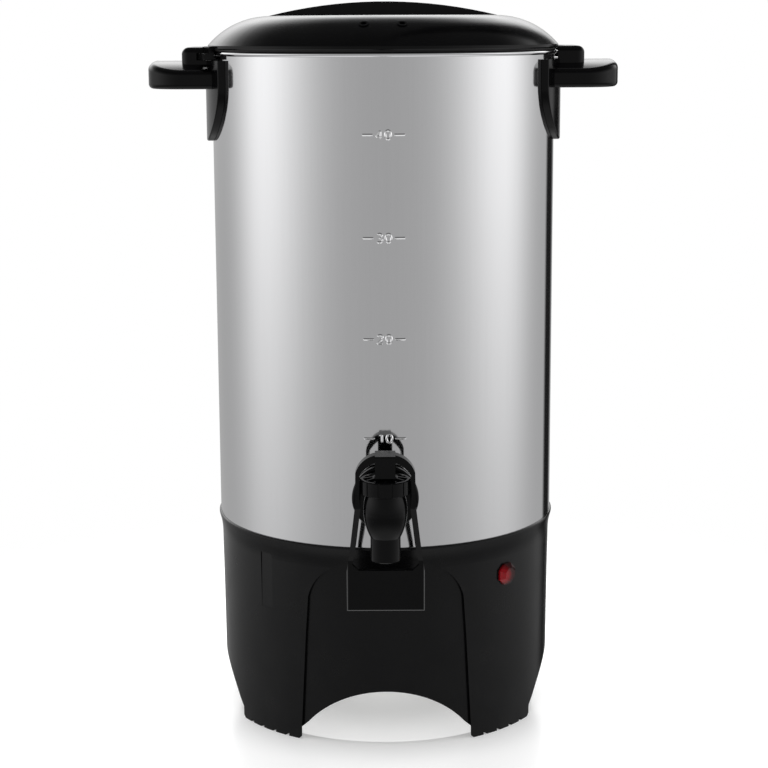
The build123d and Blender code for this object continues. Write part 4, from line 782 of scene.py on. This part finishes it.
def floor_material(stage):
    """Pale, faintly glossy floor that glows and fades out towards its edge. Its glow is painted
    light and shade round the urn: painted shade in the middle under it, painted light towards its
    feet and a painted shadow just beside them.
    """
    material = bpy.data.materials.new("pale_floor")
    material.use_nodes = True
    tree = material.node_tree
    shader = tree.nodes["Principled BSDF"]
    place = tree.nodes.new("ShaderNodeTexCoord").outputs["Object"]
    away = add_node(tree, "ShaderNodeVectorMath", {0: place}, operation="LENGTH").outputs["Value"]
    rim = tuple(share * stage.floor_radius for share in FADE)
    tree.links.new(ramp(tree, away, rim, 1.0, 0.0), shader.inputs["Alpha"])
    # painted light and shade under and beside the urn, by the distance from its axis
    under = ramp(tree, away, UNDER_RADII, *UNDER_PAINTED_SHARES)
    beside = ramp(tree, away, BESIDE_RADII, *BESIDE_PAINTED_SHARES)
    glow = calc(tree, "MULTIPLY_ADD", calc(tree, "LESS_THAN", away, UNDER_END),
                calc(tree, "SUBTRACT", under, beside), beside)
    tree.links.new(glow, shader.inputs["Emission Color"])
    shader.inputs["Base Color"].default_value = (0.9, 0.9, 0.9, 1)
    shader.inputs["Roughness"].default_value = 0.22
    shader.inputs["Emission Strength"].default_value = stage.floor_glow
    return material


def add_floor(scene, stage):
    """Disc round the tank's axis: (r cos a, r sin a, 0) for r up to its radius, a once round."""
    rings = 24
    spokes = 96
    r = np.linspace(0, stage.floor_radius, rings)[:, None]
    a = np.linspace(0, 2 * np.pi, spokes, endpoint=False)[None, :]
    disc = np.stack([r * np.cos(a), r * np.sin(a), 0 * r * a], axis=-1)
    mesh = bpy.data.meshes.new("floor")
    mesh.from_pydata(disc.reshape(-1, 3).tolist(), [],
                     grid_faces(rings, spokes, False, True).tolist())
    mesh.validate()
    floor = bpy.data.objects.new("floor", mesh)
    scene.collection.objects.link(floor)
    mesh.materials.append(floor_material(stage))
    floor.visible_glossy = False


def add_overhead(scene, stage):
    """Square softbox over the urn, which no mirror and no camera shows."""
    softbox = bpy.data.lights.new("overhead", "AREA")
    softbox.shape = "SQUARE"
    softbox.size = stage.top_size
    softbox.energy = stage.top_light
    overhead = bpy.data.objects.new("overhead", softbox)
    overhead.location = stage.top_place
    overhead.visible_glossy = False
    overhead.visible_camera = False
    scene.collection.objects.link(overhead)


def add_camera(scene, stage):
    """Camera in front of the tap, looking down a little and leaning a little."""
    lens = bpy.data.cameras.new("camera")
    lens.sensor_width = 36
    lens.lens = stage.camera_lens
    lens.clip_start = 0.01
    camera = bpy.data.objects.new("camera", lens)
    camera.location = (stage.camera_side, -stage.camera_distance, stage.camera_height)
    turned = Euler((radians(90) - stage.camera_pitch, 0, 0)).to_matrix()
    leaned = Euler((0, 0, stage.camera_roll)).to_matrix()
    camera.rotation_euler = (turned @ leaned).to_euler()
    scene.collection.objects.link(camera)
    scene.camera = camera


class URN_OT_stage(bpy.types.Operator):
    """Set the pale floor, the soft lights and the camera"""

    bl_idname = "urn.stage"
    bl_label = "Stage"

    def execute(self, context):
        scene = context.scene
        stage = scene.urn_stage
        scene.view_settings.view_transform = "Standard"
        scene.world = studio_world(stage)
        add_floor(scene, stage)
        add_overhead(scene, stage)
        add_camera(scene, stage)
        return {"FINISHED"}


class URN_PT_panel(bpy.types.Panel):
    bl_idname = "URN_PT_panel"
    bl_label = "Coffee urn"
    bl_space_type = "VIEW_3D"
    bl_region_type = "UI"
    bl_category = "Urn"

    def draw(self, context):
        for made in OPERATORS:
            self.layout.operator(made.bl_idname)
        for settings in ("urn_finishes", "urn_marks", "urn_spring", "urn_stage"):
            group = getattr(context.scene, settings)
            column = self.layout.column()
            for key in group.__annotations__:
                column.prop(group, key)


OPERATORS = (URN_OT_finishes, URN_OT_cup_marks, URN_OT_stem_coil, URN_OT_stage)
CLASSES = (UrnFinishes, UrnMarks, UrnSpring, UrnStage, *OPERATORS, URN_PT_panel)


def register():
    for made in CLASSES:
        bpy.utils.register_class(made)
    bpy.types.Scene.urn_finishes = PointerProperty(type=UrnFinishes)
    bpy.types.Scene.urn_marks = PointerProperty(type=UrnMarks)
    bpy.types.Scene.urn_spring = PointerProperty(type=UrnSpring)
    bpy.types.Scene.urn_stage = PointerProperty(type=UrnStage)


def unregister():
    del bpy.types.Scene.urn_stage
    del bpy.types.Scene.urn_spring
    del bpy.types.Scene.urn_marks
    del bpy.types.Scene.urn_finishes
    for made in reversed(CLASSES):
        bpy.utils.unregister_class(made)


def main():
    register()
    bpy.ops.urn.finishes()
    bpy.ops.urn.cup_marks()
    bpy.ops.urn.stem_coil()
    bpy.ops.urn.stage()


if __name__ == "__main__":
    main()
